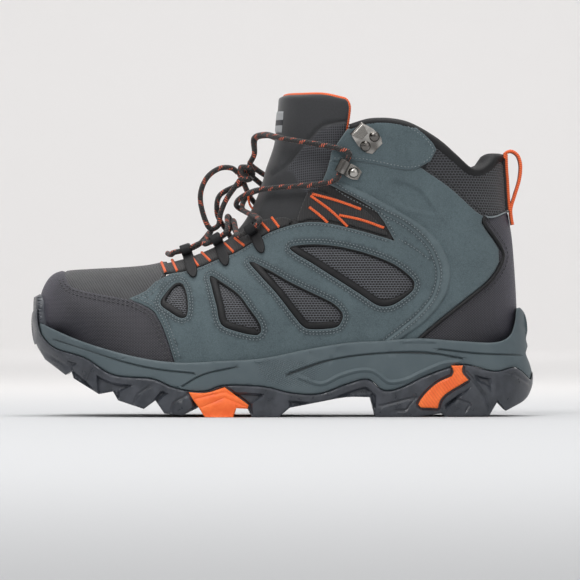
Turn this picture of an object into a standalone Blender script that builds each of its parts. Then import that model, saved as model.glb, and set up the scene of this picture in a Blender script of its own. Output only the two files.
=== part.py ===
"""A mid-height lace-up hiking boot for the left foot, as an assembly of separate closed solids.

The toe points to -X, the outer (lateral) side to -Y, and the boot stands on z = 0. Every outline is given
in the side view, as (x, z) in millimetres, and is laid onto the swollen form of the last by last_surface.
A third value of 1 marks a corner of an outline; the other points are joined by a smooth curve.
"""

import math

import bmesh
import bpy
import numpy as np
from mathutils.geometry import delaunay_2d_cdt

MM = 0.001
LATERAL, MEDIAL = -1, 1
SIDES = {"lateral": LATERAL, "medial": MEDIAL}

GAP = 0.4  # between neighbouring panels
CLEAR = 0.3  # between touching pieces
LAYER_CLEAR = 0.75  # between stacked shells, whose flat facets stray from the true curve
SKIN = 1.8  # suede and textile panels
UNDERLAY_TOP = SKIN + LAYER_CLEAR
UNDERLAY_BOTTOM = UNDERLAY_TOP + 0.7
LINING_TOP = UNDERLAY_BOTTOM + LAYER_CLEAR
LINING_THICK = 1.2
COLLAR_PADDING = 5.0  # how far the foam pushes the lining in round the ankle
TONGUE_TOP, TONGUE_BOTTOM = LINING_TOP + LINING_THICK + 0.9, 12.0
TONGUE_LINING_THICK = 1.0
SOLE_FLARE = 4.5  # how far the sole stands out beyond the last on each side
LAST_TOP, TOE_RADIUS, HEEL_RADIUS = 235.0, 50.0, 40.0
LACE = 3.3  # lace diameter
ON_RIDGE = 1e-5  # a point this near a silhouette lies on it

# Side silhouettes of the last.
FRONT_RIDGE = [
    (-138, 43.5), (-145, 48.5), (-149.3, 56), (-150.2, 66), (-148.8, 77), (-143.3, 86.3), (-134.7, 90),
    (-118, 91.4), (-100, 92.3), (-82, 94), (-68, 97.5), (-54, 102), (-41, 108), (-30, 116), (-22, 127),
    (-15.5, 141), (-11.3, 156), (-9.2, 175), (-7.2, 198), (-5, LAST_TOP),
]  # fmt: skip
BACK_RIDGE = [
    (137, 41.5), (142.5, 47), (144.6, 58), (144.8, 71.6), (142.4, 106.8), (139.6, 126.2), (138.3, 145),
    (137.4, 165), (137, LAST_TOP),
]  # fmt: skip

# Sole curves.
FLOOR = [
    (-138, 43.5), (-120, 38.5), (-91, 30.5), (-60, 26.5), (-30, 27.5), (0, 31), (30, 36), (60, 39.5),
    (90, 41), (120, 41), (137, 41.5),
]  # fmt: skip
FEATHER = [
    (-149.4, 57.5), (-123, 46.4), (-91.5, 37.4), (-64.7, 33.5), (-37.6, 34.4), (-11.6, 36.1), (14.4, 41.3),
    (40.4, 45.6), (58.6, 46.5), (83.7, 48.2), (108.9, 46.5), (130, 45.6), (140.9, 49), (145.6, 57),
    (146.4, 66.9),
]  # fmt: skip
SOLE_PARTING = [
    (-149.8, 53.5), (-146.7, 48), (-138.7, 41.7), (-120.7, 36.2), (-103.3, 26), (-79.7, 23.6), (-67.9, 18.9),
    (-57.6, 16.4), (-46.3, 16.2), (-35, 19.6), (-11.6, 18.8), (5.7, 14.9), (23, 14.4), (40.4, 20.5),
    (52.6, 23.1), (62.1, 16.4), (72.4, 17.9), (87.2, 24.9), (102.7, 30.5), (112.3, 32.2), (130.5, 27.9),
    (143.5, 30.1), (153.8, 22.2),
]  # fmt: skip
TREAD = [
    (-155, 61), (-154, 50), (-151, 42.5, 1), (-146, 35, 1), (-142.7, 32.7, 1), (-132.9, 25.6, 1),
    (-129.3, 28.3, 1), (-127.8, 23.6, 1), (-112, 14.1, 1), (-103.3, 15.7, 1), (-100.2, 10.3, 1),
    (-84.4, 5.1, 1), (-77.3, 10.3, 1), (-71.8, 2.3, 1), (-60.8, 1.2, 1), (-52, 5.5, 1), (-47.6, 0, 1),
    (-30, 0, 1), (-27.5, 5.8, 1), (-21, 5.4, 1), (-18.5, 0, 1), (-2.1, 0, 1), (4.8, 5.8, 1), (23, 9.3),
    (39.5, 12.2), (54.2, 12.2, 1), (57.3, 0, 1), (82, 0, 1), (97.6, 2.2, 1), (100.2, 0, 1), (127, 0.6, 1),
    (132.2, 9.3, 1), (137.5, 3.6, 1), (147, 8.4, 1), (151.3, 11.9), (155, 20), (155, 27.5),
]  # fmt: skip

# Borders between the panels of the upper.
TOE_CAP_EDGE = [
    (-134.7, 90), (-131.5, 82), (-122.4, 77.9), (-94.8, 72.6), (-86.6, 69.6), (-78.4, 64.7), (-74.3, 57.5),
    (-70.2, 47.2), (-66.1, 34), (-64, 26.8),
]  # fmt: skip
VAMP_TIP = (-94.8, 72.6)
THROAT_CORNER = (-75.5, 88)
THROAT_EDGE = [
    (-75.5, 88), (-61.4, 89.6), (-49, 93), (-40.8, 96.7), (-29.2, 101), (-18.5, 107.4), (-8, 113.5),
    (3.9, 117.6), (16.3, 119.8), (28, 119), (40.1, 116.4), (55, 112.5), (69.2, 108.2),
]  # fmt: skip
GORE_UPPER_EDGE = [(69.2, 108.2), (58.8, 125), (46, 133.7), (24.7, 144.6)]
ANKLE_FRONT = [(24.7, 144.6), (27.5, 151), (29.4, 157.8)]
PATCH_LOWER = [(29.4, 157.8), (50, 157.2), (74.8, 152.4), (85.2, 153.1)]
COLLAR_LOWER = [(85.2, 153.1), (103.2, 140.8), (124.5, 123.2), (139.6, 126.2)]
COUNTER_EDGE = [
    (124.5, 123.2), (123.1, 119.1), (134, 103), (134.2, 94.8), (127, 83.8), (113.2, 72.5), (95.8, 58.7),
    (83.7, 48.2), (78, 41),
]  # fmt: skip
PATCH_FRONT = [(29.4, 157.8), (31.6, 166.9), (39.9, 178.6)]
PATCH_REAR = [(75.8, 181), (88, 173), (94.5, 164), (91, 157), (85.2, 153.1)]
COLLAR_TOP = [
    (39.9, 178.6), (55.9, 182.9), (75.8, 181), (94.7, 171), (107.9, 160.7), (118, 152.8), (126, 155.5),
    (131.5, 161), (137.6, 162),
]  # fmt: skip
WINDOWS = [
    [(-75, 70), (-65.6, 82.4), (-60.6, 81.2), (-57.7, 68), (-61, 60.8), (-68.8, 64.6)],
    [(-44, 86.6), (-26.3, 75.2), (-12.8, 54.5), (-17, 50.3), (-35.9, 54.8), (-41.4, 68)],
    [(-20, 95), (18.4, 76.3), (37, 63), (32.2, 55), (18, 53.8), (8, 61), (-5, 78)],
    [(5.4, 104.3), (35.4, 104.3), (69.4, 93), (80.6, 82), (70.5, 70), (58, 69.2), (33.2, 85), (14, 97)],
]

LACE_LOOPS = [((-58, 98.5), (0.30, -0.95)), ((-38.5, 105.6), (0.34, -0.94)), ((-17, 113.2), (0.38, -0.92))]
EYELET_RIVET, EYELET_AIM = (43.8, 149.8), (-0.88, 0.47)
HOOK_RIVETS, HOOK_AIM = ((56.6, 172.0), (51.0, 166.0)), (-0.72, 0.69)

MATERIALS = {
    "suede": ((0.085, 0.125, 0.140), 0.9, 0),
    "ballistic": ((0.020, 0.020, 0.023), 0.75, 0),
    "mesh": ((0.030, 0.032, 0.036), 0.85, 0),
    "webbing": ((0.015, 0.015, 0.016), 0.8, 0),
    "orange_webbing": ((0.85, 0.12, 0.02), 0.7, 0),
    "lining": ((0.018, 0.018, 0.020), 0.9, 0),
    "foam": ((0.10, 0.10, 0.11), 0.95, 0),
    "midsole": ((0.090, 0.130, 0.145), 0.7, 0),
    "rubber": ((0.014, 0.014, 0.015), 0.6, 0),
    "orange_rubber": ((0.90, 0.14, 0.02), 0.55, 0),
    "board": ((0.35, 0.27, 0.18), 0.85, 0),
    "stiffener": ((0.40, 0.40, 0.38), 0.6, 0),
    "nickel": ((0.55, 0.53, 0.50), 0.25, 1),
    "label": ((0.45, 0.46, 0.47), 0.6, 0),
    "lace": ((0.020, 0.018, 0.018), 0.8, 0),
    "plastic": ((0.02, 0.02, 0.02), 0.35, 0),
}


# ---------------------------------------------------------------- plane curves


def curve(points, step=7.0):
    """The points joined by smooth runs that break at the corners, as an (n, 2) array."""
    marks = [0] + [i for i in range(1, len(points) - 1) if len(points[i]) > 2] + [len(points) - 1]
    xy = np.array([p[:2] for p in points], float)
    out = [xy[:1]]
    for first, last in zip(marks, marks[1:]):
        run = xy[first : last + 1]
        run = np.vstack([2 * run[0] - run[1], run, 2 * run[-1] - run[-2]])
        for a, b, c, d in zip(run, run[1:], run[2:], run[3:]):
            count = max(1, round(np.linalg.norm(c - b) / step))
            t = (np.arange(1, count + 1) / count)[:, None]
            cubic = 3 * b - a - 3 * c + d
            blend = (2 * b + (c - a) * t + (2 * a - 5 * b + 4 * c - d) * t**2 + cubic * t**3)
            out.append(blend / 2)
    return np.vstack(out)


def closed_curve(points, step=6.0):
    """A smooth closed outline through the points."""
    xy = np.array([p[:2] for p in points], float)
    out = []
    for i in range(len(xy)):
        a, b, c, d = (xy[(i + k - 1) % len(xy)] for k in range(4))
        count = max(1, round(np.linalg.norm(c - b) / step))
        t = (np.arange(count) / count)[:, None]
        cubic = 3 * b - a - 3 * c + d
        blend = (2 * b + (c - a) * t + (2 * a - 5 * b + 4 * c - d) * t**2 + cubic * t**3)
        out.append(blend / 2)
    return np.vstack(out)


def along(line):
    return np.concatenate([[0], np.cumsum(np.linalg.norm(np.diff(line, axis=0), axis=1))])


def nearest(line, points):
    """Distance to a polyline, the inward unit direction from it, and where along it the foot lies."""
    a, b = line[:-1], line[1:]
    points = np.atleast_2d(points)
    ab = b - a
    t = np.clip(((points[:, None] - a) * ab).sum(2) / (ab**2).sum(1), 0, 1)
    foot = a + t[..., None] * ab
    apart = np.linalg.norm(points[:, None] - foot, axis=2)
    best = apart.argmin(axis=1)
    rows = np.arange(len(points))
    away = points - foot[rows, best]
    distance = apart[rows, best]
    inward = np.stack([ab[:, 1], -ab[:, 0]], axis=1)[best]
    inward /= np.linalg.norm(inward, axis=1)[:, None]
    inside = (away * inward).sum(1) >= 0
    distance = np.where(inside, distance, 0.0)
    direction = np.where((distance > 0.05)[:, None], away / np.maximum(distance, 1e-9)[:, None], inward)
    where = along(line)[best] + t[rows, best] * np.linalg.norm(ab, axis=1)[best]
    return distance, direction, where


def shifted(line, by):
    """The polyline moved sideways: a positive amount moves it to its left."""
    tangent = np.gradient(line, axis=0)
    tangent /= np.linalg.norm(tangent, axis=1)[:, None]
    return line + by * np.stack([-tangent[:, 1], tangent[:, 0]], axis=1)


def part_of(line, start, end):
    """The stretch of a polyline between the feet of two points on it, running from start to end."""
    length = along(line)
    (from_length,), (to_length,) = nearest(line, start)[2], nearest(line, end)[2]
    low, high = sorted((from_length, to_length))
    inner = length[(length > low + 0.8) & (length < high - 0.8)]
    stops = np.concatenate([[low], inner, [high]])
    out = np.stack([np.interp(stops, length, line[:, k]) for k in (0, 1)], axis=1)
    return out if from_length <= to_length else out[::-1]


def inside(outline, points):
    x, z = points[:, 0:1], points[:, 1:2]
    ax, az = outline.T
    bx, bz = np.roll(outline, -1, axis=0).T
    with np.errstate(divide="ignore", invalid="ignore"):
        crossing = ((az > z) != (bz > z)) & (x < (bx - ax) * (z - az) / (bz - az) + ax)
    return crossing.sum(axis=1) % 2 == 1


FRONT = curve(FRONT_RIDGE, 5.5)
BACK = curve(BACK_RIDGE)[::-1]
FLOOR_LINE = curve(FLOOR)
FEATHER_LINE = curve(FEATHER)
PARTING_LINE = curve(SOLE_PARTING)


# ---------------------------------------------------------------- the last


def smoothstep(value, low, high):
    t = np.clip((value - low) / (high - low), 0, 1)
    return t * t * (3 - 2 * t)


def centre_line(x):
    """Y of the middle of the last: the toe leans to the inner side."""
    stations = [-155, -125, -95, -60, -30, 0, 50, 100, 155]
    return np.interp(x, stations, [7, 5.3, 2, -1, -2.6, -3.2, -2.4, -1, -1])


def half_width(x, z):
    """Half the last's width where its sides are upright."""
    sole = np.interp(
        x,
        [-155, -120, -90, -60, -30, 0, 30, 60, 90, 120, 155],
        [48, 50.5, 52.5, 53, 50.5, 46.5, 43, 40.5, 39, 38, 37.5],
    )
    shaft = 36 + 2 * smoothstep(z, 150, 195)
    up = smoothstep(z, 60, 130) * smoothstep(x, -60, 10)
    return sole * (1 - up) + shaft * up


def front_rounding(x):
    return np.interp(x, [-150, -115, -80, -40, -5, 30], [47, 50, 66, 66, 48, 42])


def rounding(t):
    t = np.clip(t, 0, 1)
    return np.sqrt(np.maximum(1 - (1 - t) ** 2, 0))


def last_height(points):
    """Half the last's width at each side-view point, rounded off towards the silhouettes."""
    x, z = points[:, 0], points[:, 1]
    front = nearest(FRONT, points)[0] / front_rounding(x)
    back = nearest(BACK, points)[0] / HEEL_RADIUS
    return half_width(x, z) * rounding(front) * rounding(back)


def last_surface(side, points, depth=0.0):
    """Points on the last's side, sunk by depth along the surface normal, and the outward normals."""
    points = np.atleast_2d(np.asarray(points, float))
    x, z = points[:, 0], points[:, 1]
    height = last_height(points)
    slope = np.zeros_like(points)
    ridge_normal = np.zeros_like(points)
    width = half_width(x, z)
    for line, radius, other in (
        (FRONT, front_rounding(x), rounding(nearest(BACK, points)[0] / HEEL_RADIUS)),
        (BACK, np.full(len(x), HEEL_RADIUS), rounding(nearest(FRONT, points)[0] / front_rounding(x))),
    ):
        distance, direction, _ = nearest(line, points)
        t = np.clip(distance / radius, 2e-6, 1)
        steep = (1 - t) / np.sqrt(1 - (1 - t) ** 2) / radius * width * other
        slope += steep[:, None] * direction
        ridge_normal = np.where((distance < ON_RIDGE)[:, None], -direction, ridge_normal)
    nudge = 0.5
    slope[:, 1] += (half_width(x, z + nudge) - half_width(x, z - nudge)) / (2 * nudge)
    slope[:, 0] += (half_width(x + nudge, z) - half_width(x - nudge, z)) / (2 * nudge)
    lean = (centre_line(x + nudge) - centre_line(x - nudge)) / (2 * nudge)
    normal = np.stack([-side * lean - slope[:, 0], np.full(len(x), float(side)), -slope[:, 1]], axis=1)
    normal /= np.linalg.norm(normal, axis=1)[:, None]
    on_ridge = np.any(ridge_normal != 0, axis=1)
    normal[on_ridge] = np.insert(ridge_normal[on_ridge], 1, 0, axis=1)
    height[on_ridge] = 0
    base = np.stack([x, centre_line(x) + side * height, z], axis=1)
    return base - np.reshape(depth, (-1, 1)) * normal, normal


def sole_half_width(points, inset=0.0):
    """Half the sole's width: upright walls with a round toe and heel."""
    x, z = points[:, 0], points[:, 1]
    toe = np.interp(z, [0, 25, 35, 50, 61, 80], [-150, -150, -152, -154.2, -155, -155]) + inset
    heel = np.interp(z, [0, 12, 27, 40, 60, 70], [153, 154.5, 155, 152.6, 150.4, 150]) - inset
    flare = SOLE_FLARE - inset + 1.0 * smoothstep(-z, -30, 0)
    width = half_width(x, np.zeros_like(x)) + flare
    return width * rounding((x - toe) / TOE_RADIUS) * rounding((heel - x) / (HEEL_RADIUS + 6))


# ---------------------------------------------------------------- solids


def material(name):
    found = bpy.data.materials.get(name)
    if found:
        return found
    colour, roughness, metallic = MATERIALS[name]
    made = bpy.data.materials.new(name)
    made.use_nodes = True
    shader = made.node_tree.nodes["Principled BSDF"]
    shader.inputs["Base Color"].default_value = (*colour, 1)
    shader.inputs["Roughness"].default_value = roughness
    shader.inputs["Metallic"].default_value = metallic
    made.diffuse_color = (*colour, 1)
    return made


def solid(name, points, faces, slot, weld=0.02, hide=False):
    """One closed body from millimetre points, its normals made to face out."""
    mesh = bpy.data.meshes.new(name)
    build = bmesh.new()
    made = [build.verts.new(p) for p in np.asarray(points) * MM]
    for face in faces:
        if len(set(face)) == len(face):
            build.faces.new([made[i] for i in face])
    bmesh.ops.remove_doubles(build, verts=build.verts, dist=weld * MM)
    bmesh.ops.dissolve_degenerate(build, edges=build.edges, dist=1e-7)
    bmesh.ops.triangulate(build, faces=build.faces)
    bmesh.ops.recalc_face_normals(build, faces=build.faces)
    if build.calc_volume(signed=True) < 0:
        bmesh.ops.reverse_faces(build, faces=build.faces)
    build.to_mesh(mesh)
    build.free()
    mesh.materials.append(material(slot))
    mesh.shade_smooth()
    mesh.set_sharp_from_angle(angle=math.radians(40))
    piece = bpy.data.objects.new(name, mesh)
    bpy.context.scene.collection.objects.link(piece)
    if hide:
        piece.hide_render = True
        piece.display_type = "WIRE"
    return piece


def boolean(piece, tool, operation="DIFFERENCE"):
    tool.hide_render = True
    tool.display_type = "WIRE"
    modifier = piece.modifiers.new(tool.name, "BOOLEAN")
    modifier.object = tool
    modifier.operation = operation
    modifier.solver = "EXACT"


def fill(loops, extra):
    """Triangles over an outline with holes, using the extra points that fall well inside it."""
    outline, holes = loops[0], loops[1:]
    wanted = inside(outline, extra)
    apart = np.full(len(extra), np.inf)
    for loop in loops:
        ring = np.vstack([loop, loop[:1]])
        a, b = ring[:-1], ring[1:]
        ab = b - a
        t = np.clip(((extra[:, None] - a) * ab).sum(2) / np.maximum((ab**2).sum(1), 1e-12), 0, 1)
        apart = np.minimum(apart, np.linalg.norm(extra[:, None] - a - t[..., None] * ab, axis=2).min(axis=1))
    wanted &= apart > 1.3
    for hole in holes:
        wanted &= ~inside(hole, extra)
    points = np.vstack([*loops, extra[wanted]])
    edges, start = [], 0
    for loop in loops:
        edges += [(start + i, start + (i + 1) % len(loop)) for i in range(len(loop))]
        start += len(loop)
    verts, _, faces, *_ = delaunay_2d_cdt([tuple(p) for p in points], edges, [], 0, 1e-6)
    xy = np.array([tuple(v) for v in verts])
    middle = np.array([xy[list(f)].mean(axis=0) for f in faces])
    keep = inside(outline, middle)
    for hole in holes:
        keep &= ~inside(hole, middle)
    return xy, [tuple(f) for f, wanted_face in zip(faces, keep) if wanted_face]


def rim(faces):
    """The edges that belong to one face only, in the direction of that face."""
    seen = {}
    for face in faces:
        for a, b in zip(face, (*face[1:], face[0])):
            seen[(a, b)] = seen.get((a, b), 0) + 1
    return [(a, b) for a, b in seen if (b, a) not in seen]


def form_points(spacing=13.0):
    """Side-view points that carry the last's curvature: rows along the silhouettes, then a plain grid."""
    rows = []
    for line in (FRONT, BACK):
        for depth, skip in ((1.6, 1), (6.0, 1), (13.5, 1), (24, 2)):
            row = shifted(line, -depth)[::skip]
            rows.append(row[nearest(line, row)[0] > depth * 0.9])
    grid = np.stack(np.meshgrid(np.arange(-140, 150, spacing), np.arange(30, 205, spacing)), axis=-1)
    grid = grid.reshape(-1, 2).astype(float)
    grid[:, 0] += np.where(np.round(grid[:, 1] / spacing) % 2 == 0, spacing / 2, 0)
    deep = np.minimum(nearest(FRONT, grid)[0], nearest(BACK, grid)[0]) > 31
    return np.vstack([*rows, grid[deep]])


FORM = form_points()


def refined(outline, longest=9.0):
    """The outline with points added where its stretches are long on the last's surface."""
    out = []
    for start, end in zip(outline, np.roll(outline, -1, axis=0)):
        first, last = last_surface(LATERAL, [start, end])[0]
        apart = np.linalg.norm(first - last)
        out.append(start)
        if apart > longest:
            middle = (start + end) / 2
            out += refined_run(start, middle, longest) + [middle] + refined_run(middle, end, longest)
    return np.array(out)


def refined_run(start, end, longest):
    """Points between two ends, halved until each step on the surface is short."""
    first, last = last_surface(LATERAL, [start, end])[0]
    if np.linalg.norm(first - last) <= longest or np.linalg.norm(end - start) < 0.5:
        return []
    middle = (start + end) / 2
    return refined_run(start, middle, longest) + [middle] + refined_run(middle, end, longest)


def on_silhouette(xy):
    return np.minimum(nearest(FRONT, xy)[0], nearest(BACK, xy)[0]) < ON_RIDGE


def panel(name, outline, slot, top, bottom, sides, holes=()):
    """A shell on the last between two depths; where its outline runs on a silhouette, its halves join."""
    xy, faces = fill([refined(outline), *holes], FORM)
    depths = [value(xy) if callable(value) else np.full(len(xy), float(value)) for value in (top, bottom)]
    on_ridge = on_silhouette(xy)
    if len(sides) > 1:
        faces = [face for face in faces if not all(on_ridge[list(face)])]
    points, all_faces = [], []
    for side in sides:
        base = len(points) * len(xy)
        for depth in depths:
            points.append(last_surface(side, xy, depth)[0])
        lower = base + len(xy)
        all_faces += [tuple(base + i for i in f) for f in faces]
        all_faces += [tuple(lower + i for i in reversed(f)) for f in faces]
        for a, b in rim(faces):
            if not (len(sides) > 1 and on_ridge[a] and on_ridge[b]):
                all_faces.append((base + b, base + a, lower + a, lower + b))
    return solid(name, np.vstack(points), all_faces, slot)


def slab(name, outline, slot, width, inner=None, side=None, hide=False):
    """A side-view outline drawn across the boot: to both sides, or on one side down to an inner width."""
    low, high = outline.min(axis=0), outline.max(axis=0)
    toe = low[0] + TOE_RADIUS * (1 - np.cos(np.linspace(0.2, 1.5, 6)))
    heel = high[0] - HEEL_RADIUS * (1 - np.cos(np.linspace(0.2, 1.5, 6)))
    xs = np.concatenate([toe, np.arange(toe[-1] + 14, heel[-1] - 7, 14), heel[::-1]])
    grid = np.stack(np.meshgrid(xs, np.arange(low[1] + 4, high[1], 9.0)), axis=-1).reshape(-1, 2)
    xy, faces = fill([outline], grid)
    middle = centre_line(xy[:, 0])
    half = width(xy)
    if side is None:
        ends = (middle - half, middle + half)
    else:
        ends = (middle + side * half, middle + side * (half - inner))
    count = len(xy)
    points = [np.stack([xy[:, 0], y, xy[:, 1]], axis=1) for y in ends]
    all_faces = list(faces) + [tuple(count + i for i in reversed(f)) for f in faces]
    all_faces += [(b, a, count + a, count + b) for a, b in rim(faces)]
    return solid(name, np.vstack(points), all_faces, slot, hide=hide)


def ribbon(name, path, across, thickness, width, slot):
    """A strip of constant thickness swept along a path; across is its width direction at each point."""
    path = np.asarray(path, float)
    across = np.broadcast_to(np.asarray(across, float), path.shape)
    across = across / np.linalg.norm(across, axis=1)[:, None]
    width = np.broadcast_to(np.asarray(width, float), len(path))
    tangent = np.gradient(path, axis=0)
    normal = np.cross(tangent, across)
    normal /= np.linalg.norm(normal, axis=1)[:, None]
    side_step = across * width[:, None] / 2
    up_step = normal * thickness / 2
    right, left = path + side_step, path - side_step
    corners = [left - up_step, right - up_step, right + up_step, left + up_step]
    points = np.stack(corners, axis=1).reshape(-1, 3)
    faces = [(0, 1, 2, 3)]
    for i in range(len(path) - 1):
        a, b = 4 * i, 4 * i + 4
        faces += [(a + k, b + k, b + (k + 1) % 4, a + (k + 1) % 4) for k in range(4)]
    last = 4 * (len(path) - 1)
    faces.append((last + 3, last + 2, last + 1, last))
    return solid(name, points, faces, slot)


def lathe(name, profile, origin, axis, slot, around=16):
    """A round solid from (radius, height) points, its axis through origin."""
    axis = np.asarray(axis, float) / np.linalg.norm(axis)
    first = np.cross(axis, [0.3, 0.1, 0.9])
    first /= np.linalg.norm(first)
    second = np.cross(axis, first)
    points, faces = [], []
    for radius, height in profile:
        for k in range(around):
            turn = 2 * math.pi * k / around
            spoke = math.cos(turn) * first + math.sin(turn) * second
            points.append(origin + height * axis + radius * spoke)
    for row in range(len(profile) - 1):
        for k in range(around):
            a, b = row * around + k, row * around + (k + 1) % around
            faces.append((a, b, b + around, a + around))
    faces.append(tuple(range(around))[::-1])
    faces.append(tuple((len(profile) - 1) * around + k for k in range(around)))
    return solid(name, points, faces, slot)


def smooth_path(points, step):
    """A smooth line through points in space, with about a step between points."""
    points = np.asarray(points, float)
    knots = np.cumsum([0, *np.sqrt(np.linalg.norm(np.diff(points, axis=0), axis=1))])
    knots = np.concatenate([[2 * knots[0] - knots[1]], knots, [2 * knots[-1] - knots[-2]]])
    ends = np.vstack([2 * points[0] - points[1], points, 2 * points[-1] - points[-2]])
    out = []
    for i in range(1, len(ends) - 2):
        run, at = ends[i - 1 : i + 3], knots[i - 1 : i + 3]
        count = max(1, round(np.linalg.norm(run[2] - run[1]) / step))
        for t in at[1] + (at[2] - at[1]) * np.arange(count) / count:
            level = list(run)
            for depth in (1, 2, 3):
                level = [
                    ((at[k + depth] - t) * level[k] + (t - at[k]) * level[k + 1]) / (at[k + depth] - at[k])
                    if depth < 3
                    else ((at[2] - t) * level[k] + (t - at[1]) * level[k + 1]) / (at[2] - at[1])
                    for k in range(4 - depth)
                ]
            out.append(level[0])
    return np.vstack([*out, points[-1]])


def cord(name, path, diameter, slot):
    """A round tube along a path, as a curve with filled caps."""
    data = bpy.data.curves.new(name, "CURVE")
    data.dimensions = "3D"
    data.bevel_depth = diameter / 2 * MM
    data.bevel_resolution = 2
    data.use_fill_caps = True
    line = data.splines.new("POLY")
    line.points.add(len(path) - 1)
    for point, place in zip(line.points, path):
        point.co = (*(np.asarray(place) * MM), 1)
    data.materials.append(material(slot))
    piece = bpy.data.objects.new(name, data)
    bpy.context.scene.collection.objects.link(piece)
    return piece


def move_origin(piece, place):
    """Puts an object's origin at a joint without moving its mesh."""
    place = np.asarray(place) * MM
    for vertex in piece.data.vertices:
        vertex.co = vertex.co - type(vertex.co)(place)
    piece.location = place


# ---------------------------------------------------------------- outlines


def border(points, by=0.0, step=6.0):
    return shifted(curve(points, step), by)


def joined(*lines):
    """One closed outline from stretches laid end to end, without doubled points."""
    points = np.vstack(lines)
    keep = np.linalg.norm(points - np.roll(points, 1, axis=0), axis=1) > 0.25
    return points[keep]


def capped(line, start=None, end=None):
    """A border whose ends are moved onto a silhouette or the floor line."""
    line = line.copy()
    for target, index in ((start, 0), (end, -1)):
        if target is not None:
            stretch = part_of(target, line[index], line[index])
            line[index] = stretch[0]
    return line


def raised_floor():
    """The lower edge of the upper's panels: just over the floor, and higher round the toe and heel."""
    lift = CLEAR + 0.1 + 3.0 * smoothstep(np.abs(FLOOR_LINE[:, 0]), 100, 130)
    line = FLOOR_LINE + np.stack([0 * lift, lift], axis=1)
    return capped(line, FRONT, BACK)


TUCK = raised_floor()


def split(line, point):
    """A polyline cut in two at the foot of a point."""
    return part_of(line, line[0], point), part_of(line, point, line[-1])


def toe_cap_outline():
    edge = capped(border(TOE_CAP_EDGE, -GAP / 2), FRONT, TUCK)
    tip = TUCK[0]
    return joined(edge, part_of(TUCK, edge[-1], tip), part_of(FRONT, tip, edge[0]))


def vamp_outline():
    edge = border(TOE_CAP_EDGE, GAP / 2)
    upper_edge, _ = split(edge, VAMP_TIP)
    upper_edge = capped(upper_edge, FRONT)
    rear = border([VAMP_TIP, (-83.6, 78), (-78, 83.6), (-75.2, 88.5), (-73, 93.2)], GAP / 2)
    rear = capped(rear, None, FRONT)
    return joined(upper_edge, rear, part_of(FRONT, rear[-1], upper_edge[0]))


def quarter_outline():
    _, toe_edge = split(border(TOE_CAP_EDGE, GAP / 2), VAMP_TIP)
    toe_edge = capped(toe_edge, None, TUCK)
    counter_edge = capped(border(COUNTER_EDGE, -GAP / 2), None, TUCK)[::-1]
    collar_edge = split(border(COLLAR_LOWER, -GAP / 2), COLLAR_LOWER[2])[0][::-1]
    patch_edge = border(PATCH_LOWER, -GAP / 2)[::-1]
    front_edge = border(ANKLE_FRONT)[::-1]
    gore_edge = border(GORE_UPPER_EDGE)[::-1]
    throat_edge = border(THROAT_EDGE, -GAP / 2)[::-1]
    vamp_edge = border([VAMP_TIP, (-83.6, 78), (-78, 83.6), THROAT_CORNER], -GAP / 2)[::-1]
    floor = part_of(TUCK, toe_edge[-1], counter_edge[0])
    return joined(
        toe_edge[1:], floor, counter_edge[:-1], collar_edge, patch_edge[1:], front_edge[1:-1], gore_edge[:-1],
        throat_edge[:-1], vamp_edge[1:-1],
    )  # fmt: skip


def patch_outline():
    lower = border(PATCH_LOWER, GAP / 2)
    rear = border(PATCH_REAR, -GAP / 2)[::-1]
    top = part_of(curve(COLLAR_TOP, 6.0), (75.8, 181), (39.9, 178.6))
    front = border(PATCH_FRONT)[::-1]
    return joined(lower[:-1], rear[1:-1], top, front[1:-1])


def collar_outline():
    lower = capped(border(COLLAR_LOWER, GAP / 2), None, BACK)
    top = capped(part_of(curve(COLLAR_TOP, 6.0), (77, 180.6), (137.6, 162)), None, BACK)[::-1]
    rear = border(PATCH_REAR, GAP / 2)
    return joined(lower[1:], part_of(BACK, lower[-1], top[0]), top[:-1], rear[1:-1])


def counter_outline():
    edge = capped(border(COUNTER_EDGE, GAP / 2), None, TUCK)
    top = capped(split(border(COLLAR_LOWER, -GAP / 2), COLLAR_LOWER[2])[1], None, BACK)
    floor = part_of(TUCK, edge[-1], TUCK[-1])
    return joined(top[::-1][:-1], edge[1:], floor, part_of(BACK, TUCK[-1], top[-1]))


THROAT_LINING = [
    (-78, 84), (-66, 84.5), (-50, 87), (-32, 94), (-12, 104), (10, 114.5), (26, 132), (36, 150), (44, 166),
    (48, 178.8),
]  # fmt: skip
HEEL_SEAM = [(98, 171), (98, 100), (98, 44)]
VAMP_SEAM = [(-52, 84), (-50, 60), (-48, 26)]


def lining_depth(xy):
    """Depth of the lining's outer face: the collar foam pushes it in round the ankle."""
    return LINING_TOP + COLLAR_PADDING * smoothstep(xy[:, 0], 62, 80) * smoothstep(xy[:, 1], 96, 126)


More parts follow.
